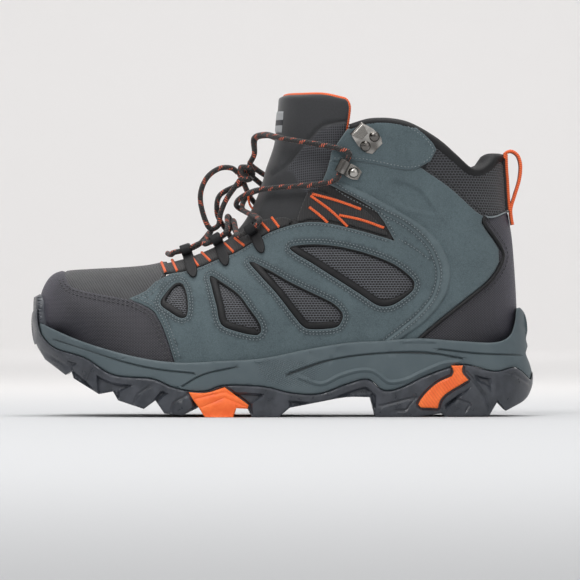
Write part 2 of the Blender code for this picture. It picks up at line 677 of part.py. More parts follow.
def lining_outlines():
    throat = curve(THROAT_LINING, 6.0)
    collar = curve(COLLAR_TOP, 6.0) - [0, 0.6]
    vamp_seam = curve(VAMP_SEAM)
    heel_seam = curve(HEEL_SEAM)
    vamp_throat = part_of(throat, throat[0], (-52, 86))
    ridge_end = (-74, 95.5)
    front_edge = capped(np.array([throat[0], (-76.2, 89), ridge_end]), None, FRONT)
    vamp_side = capped(shifted(vamp_seam, -GAP / 2), None, TUCK)
    vamp_side[0] = vamp_throat[-1]
    vamp = joined(
        vamp_throat, vamp_side[1:], part_of(TUCK, vamp_side[-1], TUCK[0]),
        part_of(FRONT, TUCK[0], front_edge[-1]), front_edge[::-1][1:-1],
    )  # fmt: skip
    quarter_front = capped(shifted(vamp_seam, GAP / 2), None, TUCK)
    quarter_throat = part_of(throat, (-51, 86.4), throat[-1])
    quarter_front[0] = quarter_throat[0]
    quarter_rear = capped(shifted(heel_seam, GAP / 2 * -1), collar, TUCK)
    quarter = joined(
        quarter_front, part_of(TUCK, quarter_front[-1], quarter_rear[-1]), quarter_rear[::-1],
        part_of(collar, quarter_rear[0], throat[-1]), quarter_throat[::-1][:-1],
    )  # fmt: skip
    heel_front = capped(shifted(heel_seam, GAP / 2), collar, TUCK)
    heel_top = capped(part_of(collar, heel_front[0], (137.6, 162)), None, BACK)
    heel = joined(
        heel_front, part_of(TUCK, heel_front[-1], TUCK[-1]), part_of(BACK, TUCK[-1], heel_top[-1]),
        heel_top[::-1][1:-1],
    )  # fmt: skip
    return vamp, quarter, heel


# ---------------------------------------------------------------- sub-assemblies


def band(line, low, high, start=None, end=None):
    """The outline between a line lowered by one amount and raised by another."""
    start = line[0] if start is None else start
    end = line[-1] if end is None else end
    stretch = part_of(line, start, end)
    return joined(stretch + [0, low], (stretch + [0, high])[::-1])


def last_body(name, grow):
    """The room that the lasted upper takes up, used to hollow the sole."""
    ridge = part_of(FRONT, FLOOR_LINE[0], (-143.3, 86.3))
    back = part_of(BACK, (143.5, 90), FLOOR_LINE[-1])
    outline = joined(ridge, back, FLOOR_LINE[1:-1][::-1])
    xy, faces = fill([refined(outline)], FORM)
    on_ridge = on_silhouette(xy)
    faces = [face for face in faces if not all(on_ridge[list(face)])]
    count = len(xy)
    depth = -grow * (1 + 1.6 * smoothstep(np.abs(xy[:, 0]), 115, 135))
    sheets = [last_surface(side, xy, depth)[0] for side in (LATERAL, MEDIAL)]
    all_faces = list(faces) + [tuple(count + i for i in reversed(f)) for f in faces]
    for a, b in rim(faces):
        if not (on_ridge[a] and on_ridge[b]):
            all_faces.append((b, a, count + a, count + b))
    return solid(name, np.vstack(sheets), all_faces, "foam", hide=True)


def sole():
    tread = curve(TREAD, 12.0)
    bumper = [(-155, 71), (-152.6, 74.6), (-148.5, 74.4), (-148.5, 58.2), (-150.2, 57.8)]
    parting = PARTING_LINE - [0, CLEAR]
    outline = joined(tread, parting[::-1], np.array(bumper[::-1], float))
    outsole = slab("outsole", outline, "rubber", sole_half_width)
    boolean(outsole, last_body("last_room_for_outsole", LAYER_CLEAR))
    heel_back = np.array([(154, 27.5), (151, 44), (150.2, 62), (149, 66.9)], float)
    cup = joined(PARTING_LINE, heel_back, FEATHER_LINE[::-1])
    midsole = slab("midsole", cup, "midsole", lambda xy: sole_half_width(xy, 1.0))
    boolean(midsole, last_body("last_room_for_midsole", LAYER_CLEAR))
    shank_line = part_of(FLOOR_LINE, (-20, 29), (105, 41))
    room_outline = band(shank_line, -1.9, 3)
    shank_room = slab("shank_room", room_outline, "foam", lambda xy: np.full(len(xy), 10.3), hide=True)
    boolean(midsole, shank_room)
    slab("shank", band(shank_line[1:-1], -1.6, -0.1), "stiffener", lambda xy: np.full(len(xy), 10.0))
    board_line = part_of(FLOOR_LINE, (-122, 40), (121, 41))
    slab("lasting_board", band(board_line, 0.3, 2.3), "board", lambda xy: last_height(xy + [0, 4]) - 7.2)
    footbed_line = part_of(FLOOR_LINE, (-120, 42), (121, 41))
    footbed = slab("footbed", band(footbed_line, 2.7, 7.0), "foam", lambda xy: last_height(xy + [0, 3]) - 8.0)
    move_origin(footbed, (*footbed_line[0, [0]], 0, footbed_line[0, 1] + 2.7))
    inserts(outsole, midsole)


FOREFOOT_INSERT = [
    (-57, 15.4, 1), (-46.3, 15.0), (-35, 18.4, 1), (-20.4, 7.5, 1), (-21, 5.2, 1), (-28.1, 5.6, 1),
    (-29.8, 0, 1), (-47.1, 0, 1), (-50.6, 5.6, 1), (-54.5, 11, 1), (-57, 15.4, 1),
]  # fmt: skip
FOREFOOT_ROOM = [
    (-57.4, 15.8), (-46.3, 15.3), (-35, 18.75), (-20.05, 7.6), (-20.7, 5.0), (-21.2, 4.9), (-21.2, -1),
    (-52.4, -1), (-52.4, 5.2), (-50.85, 5.4), (-54.75, 10.8),
]  # fmt: skip
HEEL_INSERT = [
    (104.6, 29.6, 1), (110.8, 29.6, 1), (110.8, 26.6, 1), (114.6, 22.2, 1), (102.8, 13.6), (95.8, 5.4, 1),
    (85.2, 6.2, 1), (90.6, 14.5), (102.8, 24, 1), (104.6, 29.6, 1),
]  # fmt: skip
HEEL_INSERT_DEPTH = 7.0
# The orange lug stands up to its outline within LUG_WALL of each side, and to LUG_BRIDGE between.
LUG_WALL, LUG_BRIDGE = 16.0, 10.0


def inserts(outsole, midsole):
    """The orange lug that runs across the forefoot, and the orange inserts in the sides of the heel."""

    def flush(xy):
        return sole_half_width(xy) - 0.2

    def past(xy):
        return sole_half_width(xy) + 3

    def over_bridge(wall):
        return lambda xy: sole_half_width(xy) - wall

    insert = slab("forefoot_insert", curve(FOREFOOT_INSERT, 9.0)[:-1], "orange_rubber", flush)
    insert_room = slab("forefoot_insert_room", np.array(FOREFOOT_ROOM), "rubber", past, hide=True)
    for piece, clear in ((insert, 0.0), (insert_room, CLEAR)):
        wall, level = LUG_WALL + clear, LUG_BRIDGE + clear
        bridge = np.array([(-64, level), (-12, level), (-12, 30), (-64, 30)])
        boolean(piece, slab(f"bridge_over_{piece.name}", bridge, "rubber", over_bridge(wall), hide=True))
    boolean(outsole, insert_room)
    for name, side in SIDES.items():
        outline, deep = curve(HEEL_INSERT, 9.0)[:-1], HEEL_INSERT_DEPTH
        slab(f"heel_insert_{name}", outline, "orange_rubber", flush, deep, side)
        room_name = f"heel_insert_room_{name}"
        room = slab(room_name, closed_room(HEEL_INSERT), "rubber", past, deep + 3.5, side, hide=True)
        boolean(outsole, room)
        boolean(midsole, room)


def closed_room(points):
    """The outline of an insert pushed out by the clearance, for its cutter."""
    outline = curve(points, 9.0)[:-1]
    ring = np.vstack([outline[-1], outline, outline[0]])
    before = ring[1:-1] - ring[:-2]
    after = ring[2:] - ring[1:-1]
    area = (outline[:, 0] * np.roll(outline[:, 1], -1) - np.roll(outline[:, 0], -1) * outline[:, 1]).sum()
    turn = 1 if area < 0 else -1

    def left(edge):
        return turn * np.stack([-edge[:, 1], edge[:, 0]], axis=1) / np.linalg.norm(edge, axis=1)[:, None]

    bisector = left(before) + left(after)
    bisector /= np.maximum((bisector * left(before)).sum(axis=1), 0.5)[:, None]
    return outline + CLEAR * bisector


def upper():
    both = (LATERAL, MEDIAL)
    panel("toe_cap", toe_cap_outline(), "ballistic", 0, SKIN, both)
    panel("vamp", vamp_outline(), "mesh", 0, SKIN, both)
    panel("collar_mesh", collar_outline(), "mesh", 0, SKIN, both)
    panel("heel_counter", counter_outline(), "ballistic", 0, SKIN, both)
    quarter = quarter_outline()
    windows = [closed_curve(window)[::-1] for window in WINDOWS]
    patch = patch_outline()
    for name, side in SIDES.items():
        panel(f"quarter_{name}", quarter, "suede", 0, SKIN, (side,), windows)
        panel(f"ankle_patch_{name}", patch, "suede", 0, SKIN, (side,))
    vamp, quarter_lining, heel = lining_outlines()

    def lining_bottom(xy):
        return lining_depth(xy) + LINING_THICK

    panel("vamp_lining", vamp, "lining", lining_depth, lining_bottom, both)
    panel("heel_lining", heel, "lining", lining_depth, lining_bottom, both)
    for name, side in SIDES.items():
        panel(f"quarter_lining_{name}", quarter_lining, "lining", lining_depth, lining_bottom, (side,))


PUFF_EDGE = [(-137.5, 89), (-133.5, 80), (-121, 74), (-100, 66), (-88, 55), (-84, 40), (-83, 28)]
STIFFENER_EDGE = [(140.5, 115), (128, 112), (112, 102), (98, 80), (92, 60), (90, 41)]
UNDERLAY = [
    (-80, 66, 1), (-72, 85, 1), (-50, 90.5), (-30, 98), (-8, 109), (14, 115.5), (40, 112), (64, 104.5, 1),
    (88, 96, 1), (86, 60), (76, 46, 1), (0, 36), (-62, 34, 1), (-70, 50), (-80, 66),
]  # fmt: skip
GORE = [
    (-70, 90, 1), (-50, 94), (-30, 101.5), (-8, 112.5), (14, 119), (40, 115.5), (66, 107.8, 1), (73, 113, 1),
    (64, 127), (48, 138), (35, 150, 1), (40, 160), (47, 177, 1), (42.5, 177.5, 1), (33, 164), (27, 152),
    (20, 136), (8, 123), (-12, 115), (-34, 104.5), (-54, 97), (-70, 92.6, 1),
]  # fmt: skip
FOAM_OUTLINE = [(70, 177.5), (66, 140), (84, 124), (100, 115), (118, 126), (128, 129.5), (139.4, 130)]
WEBBING_FAN = [
    (15, 137), (19.5, 139.4), (34, 134), (50, 127.4), (60, 118), (65, 111.4), (52, 114.8), (40, 118.2),
    (28, 120.8), (16, 121.6), (9, 120.6),
]  # fmt: skip
THROAT_WEBBING_INNER = [
    (-73, 94.2), (-62, 96.8), (-48, 101.6), (-36, 107.8), (-24, 116), (-12, 121), (2, 122.6), (5.5, 121),
]  # fmt: skip


def stiffeners():
    both = (LATERAL, MEDIAL)
    edge = capped(curve(PUFF_EDGE), FRONT, TUCK)
    puff = joined(edge, part_of(TUCK, edge[-1], TUCK[0]), part_of(FRONT, TUCK[0], edge[0]))
    panel("toe_puff", puff, "stiffener", UNDERLAY_TOP, UNDERLAY_BOTTOM, both)
    edge = capped(curve(STIFFENER_EDGE), BACK, TUCK)
    counter = joined(edge, part_of(TUCK, edge[-1], TUCK[-1]), part_of(BACK, TUCK[-1], edge[0]))
    panel("heel_stiffener", counter, "stiffener", UNDERLAY_TOP, UNDERLAY_BOTTOM, both)
    edge = capped(curve(FOAM_OUTLINE), None, BACK)
    top = capped(part_of(curve(COLLAR_TOP, 6.0) - [0, 2.5], edge[0], (137.6, 160)), None, BACK)
    foam = joined(edge[1:], part_of(BACK, edge[-1], top[-1]), top[::-1][1:])

    def foam_bottom(xy):
        return lining_depth(xy) - LAYER_CLEAR - 0.3

    panel("collar_foam", foam, "foam", UNDERLAY_TOP, foam_bottom, both)
    fan = closed_curve(WEBBING_FAN, 8.0)
    inner = curve(THROAT_WEBBING_INNER)
    outer = part_of(border(THROAT_EDGE, GAP / 2), (-73.5, 89), (3.5, 118))
    strap = joined(outer, inner[::-1])
    for name, side in SIDES.items():
        underlay = curve(UNDERLAY, 10.0)[:-1]
        panel(f"mesh_underlay_{name}", underlay, "mesh", UNDERLAY_TOP, UNDERLAY_BOTTOM, (side,))
        panel(f"gore_{name}", curve(GORE, 9.0), "webbing", UNDERLAY_TOP, UNDERLAY_BOTTOM, (side,))
        panel(f"instep_webbing_{name}", fan, "orange_webbing", 0.4, SKIN, (side,))
        panel(f"throat_webbing_{name}", strap, "webbing", 0, 1.4, (side,))


TONGUE_REAR = [
    (-71, 96), (-66, 89.8), (-50, 90.5), (-30, 97.5), (-8, 108), (12, 120), (24, 136), (33, 154), (38.5, 172),
    (41.3, 190), (39, 195, 1), (23.2, 198), (4.7, 198.3), (-3, 196.6), (-7.2, 194.5),
]  # fmt: skip
TONGUE_HINGE = (-66, 0, 92)


def tongue():
    both = (LATERAL, MEDIAL)
    edge = capped(curve(TONGUE_REAR, 9.0), FRONT, FRONT)
    outline = joined(edge, part_of(FRONT, edge[-1], edge[0])[1:-1])

    def underside(xy):
        thin = TONGUE_TOP + 1.6
        return thin + (TONGUE_BOTTOM - thin) * smoothstep(xy[:, 0] + xy[:, 1], 30, 110)

    def lining_top(xy):
        return underside(xy) + CLEAR

    def lining_bottom(xy):
        return underside(xy) + CLEAR + TONGUE_LINING_THICK

    pieces = [
        panel("tongue", outline, "mesh", TONGUE_TOP, underside, both),
        panel("tongue_lining", outline, "orange_webbing", lining_top, lining_bottom, both),
    ]
    pieces.append(patch_on_ridge("tongue_label", (181, 193.5), 12.0, "label"))
    pieces.append(lace_keeper())
    for piece in pieces:
        move_origin(piece, TONGUE_HINGE)


def ridge_point(z, lift):
    """A point in front of the tongue on the boot's middle, at a height, lifted off its face."""
    upper_front = FRONT[FRONT[:, 1] > 96]
    x = np.interp(z, upper_front[:, 1], upper_front[:, 0])
    place, normal = last_surface(LATERAL, [(x, z)], TONGUE_TOP - lift)
    return place[0], normal[0]


def patch_on_ridge(name, heights, width, slot):
    path = [ridge_point(z, 0.8)[0] for z in np.linspace(*heights, 4)]
    path = np.array(path) - [0.6, 0, 0]
    return ribbon(name, path, (0, 1, 0), 0.6, width, slot)


def lace_keeper():
    """A short webbing loop sewn across the front of the tongue, which holds the lace."""
    low, normal = ridge_point(129, 0.9)
    high, _ = ridge_point(141, 0.9)
    out = normal * 8.0
    path = smooth_path([low, low + (high - low) * 0.1 + out * 0.55, (low + high) / 2 + out,
                        low + (high - low) * 0.9 + out * 0.55, high], 2.5)  # fmt: skip
    return ribbon("lace_keeper", path, (0, 1, 0), 1.0, 9.0, "webbing")


def side_frame(side, place, aim, lift=0.0):
    """Place, aim, across and outward directions on the side of the upper, as unit vectors."""
    (base,), (normal,) = last_surface(side, [place], -lift)
    (ahead,), _ = last_surface(side, [np.add(place, np.multiply(aim, 0.5))], -lift)
    forward = ahead - base
    forward -= normal * (forward @ normal)
    forward /= np.linalg.norm(forward)
    return base, forward, np.cross(normal, forward), normal


SHEET = 0.9  # thickness of the pressed metal
EYELET_BORE = 2.9
EYELET_REACH = 7.5  # from the rivet to the middle of the rolled tube
RIVET_RADIUS = 3.2


def rivet(name, base, normal, height):
    lathe(
        name,
        [(RIVET_RADIUS, height), (RIVET_RADIUS, height + 0.8), (RIVET_RADIUS * 0.75, height + 1.7),
         (RIVET_RADIUS * 0.3, height + 2.1)],
        base, normal, "nickel",
    )  # fmt: skip


def hardware():
    for name, side in SIDES.items():
        base, forward, across, normal = side_frame(side, EYELET_RIVET, EYELET_AIM, CLEAR)
        centre = EYELET_BORE + SHEET / 2
        path = [(-4.4, SHEET / 2), (0, SHEET / 2), (4.5, SHEET / 2)]
        for turn in np.linspace(-90, 235, 14):
            angle = math.radians(turn)
            ahead, out = centre * math.cos(angle), centre * math.sin(angle)
            path.append((EYELET_REACH + ahead, SHEET / 2 + centre + out))
        path = [base + forward * a + normal * b for a, b in path]
        eyelet = ribbon(f"eyelet_{name}", path, across, SHEET, 8.4, "nickel")
        move_origin(eyelet, base)
        rivet(f"eyelet_rivet_{name}", base, normal, SHEET + CLEAR)
        first, second = HOOK_RIVETS
        middle = np.mean(HOOK_RIVETS, axis=0)
        base, forward, across, normal = side_frame(side, middle, HOOK_AIM, CLEAR)
        path = [
            (-6.5, 0.45), (-3.5, 0.45), (3.5, 0.45), (7.5, 0.6), (10.6, 1.6), (12, 3.6), (11, 5.6), (8, 6.3),
            (4.6, 6.9),
        ]  # fmt: skip
        widths = [11.5, 14, 14, 12, 10.5, 10, 10, 9, 6.5]
        path = [base + forward * a + normal * b for a, b in path]
        ribbon(f"hook_{name}", path, across, SHEET, widths, "nickel")
        for number, place in enumerate((first, second), 1):
            (spot,), _ = last_surface(side, [place], -CLEAR)
            spot = spot - normal * ((spot - base) @ normal)
            rivet(f"hook_rivet_{name}_{number}", spot, normal, SHEET + CLEAR)


LOOP_BORE = 2.5
LOOP_LIFT = 0.9
LOOP_THICK = 1.1


def loop_centre(side, number):
    """The middle of a lace loop's ring, the way out of the boot and the way through the ring."""
    base, _, across, normal = side_frame(side, *LACE_LOOPS[number], LOOP_LIFT + LOOP_THICK + LOOP_BORE)
    return base, normal, across * np.sign(across[0])


def lace_loops():
    """Folded webbing loops on the throat edges: a tail down the quarter and a ring round the lace."""
    thick = LOOP_THICK
    for name, side in SIDES.items():
        for number, (place, aim) in enumerate(LACE_LOOPS):
            base, down, across, normal = side_frame(side, place, aim, LOOP_LIFT)
            tail = [np.add(place, np.multiply(aim, reach)) for reach in (14.0, 10.5, 7.0, 3.5)]
            path = list(last_surface(side, tail, -(LOOP_LIFT + thick / 2))[0])
            radius = LOOP_BORE + thick / 2
            centre = base + normal * (thick / 2 + radius)
            for turn in np.linspace(-90, -400, 13):
                angle = math.radians(turn)
                path.append(centre + radius * (math.cos(angle) * down + math.sin(angle) * normal))
            widths = [5.0, 8.0, 9.0, 9.0] + [8.5] * 13
            ribbon(f"lace_loop_{name}_{number + 1}", path, across, thick, widths, "webbing")


def heel_trim():
    reach = [
        (118, 1.5), (123, 1.5), (128, 1.9), (137, 5.2), (147, 8.6), (156, 9.8), (162.2, 7.0), (164.4, 2.0),
    ]  # fmt: skip
    path = [(np.interp(z, BACK[::-1, 1], BACK[::-1, 0]) + out, 0, z) for z, out in reach]
    ribbon("pull_loop", smooth_path(path, 4.0), (0, 1, 0), 1.6, 17.0, "webbing")


# ---------------------------------------------------------------- lace

CROSSING_LIFT = 4.2  # where the lace crosses itself, one run passes this much higher


def over_tongue(z, y, lift):
    """A point over the tongue's front, some way to the side of the middle and lifted off it."""
    upper_front = FRONT[FRONT[:, 1] > 90]
    x = np.interp(z, upper_front[:, 1], upper_front[:, 0])
    tangent = np.array([np.interp(z + 1, upper_front[:, 1], upper_front[:, 0]) - x, 1.0])
    tangent /= np.linalg.norm(tangent)
    inward = np.array([tangent[1], -tangent[0]])
    radius = front_rounding(np.array([x]))[0]
    width = half_width(np.array([x]), np.array([z]))[0]
    t = 1 - math.sqrt(max(0.0, 1 - (y / width) ** 2))
    spot = np.array([x, z]) + inward * t * radius
    side = LATERAL if y < 0 else MEDIAL
    place, normal = last_surface(side, [spot], -lift)
    return place[0]


def through_loop(side, number):
    """Three points that lead straight through a lace loop's ring."""
    place, normal, along_edge = loop_centre(side, number)
    return [place + along_edge * reach + normal * (abs(reach) / 9) for reach in (-7.5, 0, 7.5)]


def lower_run(side, lift):
    """From the middle of the first crossbar up through this side's and the other side's loops."""
    return [
        *through_loop(side, 0), over_tongue(108.2, 0, 2.6 + lift),
        *through_loop(-side, 1), over_tongue(118.5, 0, 3.4 + lift), *through_loop(side, 2),
    ]  # fmt: skip


def upper_run(side, lift):
    """From this side's top loop across to the other side's eyelet, and back over the tongue to the knot."""
    base, forward, across, normal = side_frame(-side, EYELET_RIVET, EYELET_AIM, CLEAR)
    centre = base + forward * EYELET_REACH + normal * (SHEET + EYELET_BORE)
    up = across if across[2] > 0 else -across
    return [
        over_tongue(127, 0, 3.2 + lift), over_tongue(138, -side * 15, 6.0),
        centre - up * 9 + normal * 1.4, centre - up * 3.5, centre + up * 3.5, centre + up * 9 + normal * 1.2,
        over_tongue(172, -side * 26, 5.0), over_tongue(173.5, -side * 12, 3.0 + lift * 0.4),
        over_tongue(170.5, -side * 4.5, 7.5 + lift * 0.2), over_tongue(161, -side * 4.0, 7.0),
        knot_middle() + (1.2, -side * 3.4, 6.5),
    ]  # fmt: skip


def lacing():
    """The lace from the knot down one side, over the toe end of the tongue and up the other side."""
    under = [*lower_run(LATERAL, 0.0), *upper_run(LATERAL, 0.0)]
    over = [*lower_run(MEDIAL, CROSSING_LIFT), *upper_run(MEDIAL, CROSSING_LIFT)]
    bar = [over_tongue(97.5, -9, 3.4), over_tongue(97.0, 0, 3.6), over_tongue(97.5, 9, 3.4)]
    cord("lacing", smooth_path([*under[::-1], *bar, *over], 7.5), LACE, "lace")


# The free lace, by hand. A bow's or an end's first points are steps from the knot's middle; points in
# space follow for the bow in front, and points on the inner side (x, z, lift) for the others.
KNOT_HEIGHT, KNOT_LIFT, KNOT_RADII = 147.5, 8.0, (5.2, 7.4, 6.0)
BOW_FRONT = [
    (-31, -9, 153), (-38, -11, 153), (-46, -12.5, 147.5), (-50.3, -12.5, 137), (-48.5, -11, 124),
    (-44, -10, 115.5), (-39.5, -9, 117.5), (-38, -9.5, 125), (-34.5, -9, 133.5),
]  # fmt: skip
BOW_FRONT_ENDS = (-6.8, -2.4, 1.0), (-5.2, -5.4, -4.4)
BOW_INNER = [
    (-9, 144, 9.5), (-2, 136, 11.5), (5, 122, 8), (7, 106, 4.5), (2, 93, 4.5), (-6, 94, 4.5), (-6, 106, 5),
    (-6, 119, 9), (-11, 131, 12.5),
]  # fmt: skip
BOW_INNER_ENDS = (-0.6, 8.6, 0.4), (-3.4, 6.8, -4.2)
END_UPPER = [(-4, 147, 8.5), (6, 142, 11.5), (16, 133, 9.5), (25, 119, 4.5), (32, 102, 4.5), (36, 85, 4.5)]
END_UPPER_START = (2.4, 6.6, 4.6)
END_LOWER = [
    (-26, 128, 15), (-30, 116, 14.5), (-28, 102, 8.5), (-29, 88, 4.5), (-33, 72, 4.5), (-37, 58, 4.5),
]  # fmt: skip
END_LOWER_START = (-4.4, 1.2, -6.2)
AGLET_LENGTH, AGLET_DIAMETER = 17.0, 3.9


def on_inner_side(route):
    return [last_surface(MEDIAL, [(x, z)], -lift)[0][0] for x, z, lift in route]


def knot_middle():
    return over_tongue(KNOT_HEIGHT, 0, KNOT_LIFT)


def knot():
    middle = knot_middle()
    rings = np.linspace(0.12, math.pi - 0.12, 7)
    around = 14
    points = [
        middle + np.multiply(KNOT_RADII, (math.sin(a) * math.cos(b), math.cos(a), math.sin(a) * math.sin(b)))
        for a in rings
        for b in np.linspace(0, 2 * math.pi, around, endpoint=False)
    ]
    faces = [
        (around * row + k, around * row + (k + 1) % around, around * (row + 1) + (k + 1) % around,
         around * (row + 1) + k)
        for row in range(len(rings) - 1) for k in range(around)
    ]  # fmt: skip
    faces += [tuple(range(around))[::-1], tuple(range(around * (len(rings) - 1), around * len(rings)))]
    solid("lace_knot", points, faces, "lace")


def free_laces():
    """The two bows and the two ends that lie free on the outside of the boot."""
    middle = knot_middle()
    first, last = BOW_FRONT_ENDS
    cord("bow_front", smooth_path([middle + first, *BOW_FRONT, middle + last], 9.0), LACE, "lace")
    first, last = BOW_INNER_ENDS
    route = [middle + first, *on_inner_side(BOW_INNER), middle + last]
    cord("bow_inner", smooth_path(route, 9.0), LACE, "lace")
    for name, start, route in (("upper", END_UPPER_START, END_UPPER), ("lower", END_LOWER_START, END_LOWER)):
        path = smooth_path([middle + start, *on_inner_side(route)], 9.0)
        cord(f"lace_end_{name}", path, LACE, "lace")
        ahead = path[-1] - path[-2]
        ahead /= np.linalg.norm(ahead)
        radius = AGLET_DIAMETER / 2
        profile = [(radius, 0), (radius, AGLET_LENGTH - 1.2), (radius * 0.6, AGLET_LENGTH)]
        lathe(f"aglet_{name}", profile, path[-1] + ahead * CLEAR, ahead, "plastic", 12)


def build():
    for piece in list(bpy.data.objects):
        bpy.data.objects.remove(piece, do_unlink=True)
    sole()
    upper()
    stiffeners()
    tongue()
    hardware()
    lace_loops()
    heel_trim()
    lacing()
    knot()
    free_laces()


build()
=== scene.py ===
"""The look of a hiking boot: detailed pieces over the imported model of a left, mid-height, lace-up boot.

The toe points to -X, the outer (lateral) side to -Y, and the boot stands on z = 0. Outlines are given in the
side view, as (x, z) in millimetres, and are laid onto the last, a smooth field of half-widths. A third
value of 1 marks a corner of an outline. Depths are measured inwards from the outer face of the upper.
"""

import math

import bmesh
import bpy
import numpy as np
from mathutils.geometry import delaunay_2d_cdt
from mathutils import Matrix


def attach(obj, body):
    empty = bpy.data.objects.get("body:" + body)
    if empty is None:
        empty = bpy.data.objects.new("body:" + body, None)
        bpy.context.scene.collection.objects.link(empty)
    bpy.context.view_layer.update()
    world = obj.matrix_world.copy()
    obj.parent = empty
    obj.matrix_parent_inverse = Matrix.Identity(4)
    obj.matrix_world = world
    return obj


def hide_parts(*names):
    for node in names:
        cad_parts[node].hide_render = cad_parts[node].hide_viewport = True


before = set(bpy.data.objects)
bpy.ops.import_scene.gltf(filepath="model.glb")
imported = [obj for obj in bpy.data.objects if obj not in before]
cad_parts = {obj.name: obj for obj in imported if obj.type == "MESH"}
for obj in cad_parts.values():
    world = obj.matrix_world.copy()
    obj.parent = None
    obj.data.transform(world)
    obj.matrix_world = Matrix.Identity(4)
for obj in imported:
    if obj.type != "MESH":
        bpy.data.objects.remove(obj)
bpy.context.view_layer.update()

MM = 0.001
LATERAL, MEDIAL = -1, 1
BOTH = (LATERAL, MEDIAL)
SIDES = {"lateral": LATERAL, "medial": MEDIAL}
GAP, CLEAR, LAYER_CLEAR, SKIN = 0.4, 0.3, 0.75, 1.8
UNDERLAY_TOP = SKIN + LAYER_CLEAR
UNDERLAY_BOTTOM = UNDERLAY_TOP + 0.7
LINING_TOP = UNDERLAY_BOTTOM + LAYER_CLEAR
LINING_THICK = 1.2
COLLAR_PADDING = 5.0
TONGUE_TOP, TONGUE_BOTTOM = LINING_TOP + LINING_THICK + 0.9, 12.0
SOLE_FLARE = 4.5
LAST_TOP, TOE_RADIUS, HEEL_RADIUS = 235.0, 50.0, 40.0
LACE = 3.3
ON_RIDGE = 2e-3

FRONT_RIDGE = [
    (-138, 43.5), (-145, 48.5), (-149.3, 56), (-150.2, 66), (-148.8, 77), (-143.3, 86.3), (-134.7, 90),
    (-118, 91.4), (-100, 92.3), (-82, 94), (-68, 97.5), (-54, 102), (-41, 108), (-30, 116), (-22, 127),
    (-15.5, 141), (-11.3, 156), (-9.2, 175), (-7.2, 198), (-5, LAST_TOP),
]
BACK_RIDGE = [
    (137, 41.5), (142.5, 47), (144.6, 58), (144.8, 71.6), (142.4, 106.8), (139.6, 126.2), (138.3, 145),
    (137.4, 165), (137, LAST_TOP),
]
FLOOR = [
    (-138, 43.5), (-120, 38.5), (-91, 30.5), (-60, 26.5), (-30, 27.5), (0, 31), (30, 36), (60, 39.5),
    (90, 41), (120, 41), (137, 41.5),
]
FEATHER = [
    (-149.4, 57.5), (-123, 46.4), (-91.5, 37.4), (-64.7, 33.5), (-37.6, 34.4), (-11.6, 36.1), (14.4, 41.3),
    (40.4, 45.6), (58.6, 46.5), (83.7, 48.2), (108.9, 46.5), (130, 45.6), (140.9, 49), (145.6, 57),
    (146.4, 66.9),
]
SOLE_PARTING = [
    (-149.8, 53.5), (-146.7, 48), (-138.7, 41.7), (-120.7, 36.2), (-103.3, 26), (-79.7, 23.6), (-67.9, 18.9),
    (-57.6, 16.4), (-46.3, 16.2), (-35, 19.6), (-11.6, 18.8), (5.7, 14.9), (23, 14.4), (40.4, 20.5),
    (52.6, 23.1), (62.1, 16.4), (72.4, 17.9), (87.2, 24.9), (102.7, 30.5), (112.3, 32.2), (130.5, 27.9),
    (143.5, 30.1), (153.8, 22.2),
]
TREAD = [
    (-155, 61), (-154, 50), (-151, 42.5, 1), (-146, 35, 1), (-142.7, 32.7, 1), (-132.9, 25.6, 1),
    (-129.3, 28.3, 1), (-127.8, 23.6, 1), (-112, 14.1, 1), (-103.3, 15.7, 1), (-100.2, 10.3, 1),
    (-84.4, 5.1, 1), (-77.3, 10.3, 1), (-71.8, 2.3, 1), (-60.8, 1.2, 1), (-52, 5.5, 1), (-47.6, 0, 1),
    (-30, 0, 1), (-27.5, 5.8, 1), (-21, 5.4, 1), (-18.5, 0, 1), (-2.1, 0, 1), (4.8, 5.8, 1), (23, 9.3),
    (39.5, 12.2), (54.2, 12.2, 1), (57.3, 0, 1), (82, 0, 1), (97.6, 2.2, 1), (100.2, 0, 1), (127, 0.6, 1),
    (132.2, 9.3, 1), (137.5, 3.6, 1), (147, 8.4, 1), (151.3, 11.9), (155, 20), (155, 27.5),
]
TOE_CAP_EDGE = [
    (-134.7, 90), (-131.5, 82), (-122.4, 77.9), (-94.8, 72.6), (-86.6, 69.6), (-78.4, 64.7), (-74.3, 57.5),
    (-70.2, 47.2), (-66.1, 34), (-64, 26.8),
]
VAMP_TIP = (-94.8, 72.6)
THROAT_CORNER = (-75.5, 88)
THROAT_EDGE = [
    (-75.5, 88), (-61.4, 89.6), (-49, 93), (-40.8, 96.7), (-29.2, 101), (-18.5, 107.4), (-8, 113.5),
    (3.9, 117.6), (16.3, 119.8), (28, 119), (40.1, 116.4), (55, 112.5), (69.2, 108.2),
]
GORE_UPPER_EDGE = [(69.2, 108.2), (58.8, 125), (46, 133.7), (24.7, 144.6)]
ANKLE_FRONT = [(24.7, 144.6), (27.5, 151), (29.4, 157.8)]
PATCH_LOWER = [(29.4, 157.8), (50, 157.2), (74.8, 152.4), (85.2, 153.1)]
COLLAR_LOWER = [(85.2, 153.1), (103.2, 140.8), (124.5, 123.2), (139.6, 126.2)]
COUNTER_EDGE = [
    (124.5, 123.2), (123.1, 119.1), (134, 103), (134.2, 94.8), (127, 83.8), (113.2, 72.5), (95.8, 58.7),
    (83.7, 48.2), (78, 41),
]
PATCH_FRONT = [(29.4, 157.8), (31.6, 166.9), (39.9, 178.6)]
PATCH_REAR = [(75.8, 181), (88, 173), (94.5, 164), (91, 157), (85.2, 153.1)]
COLLAR_TOP = [
    (39.9, 178.6), (55.9, 182.9), (75.8, 181), (94.7, 171), (107.9, 160.7), (118, 152.8), (126, 155.5),
    (131.5, 161), (137.6, 162),
]
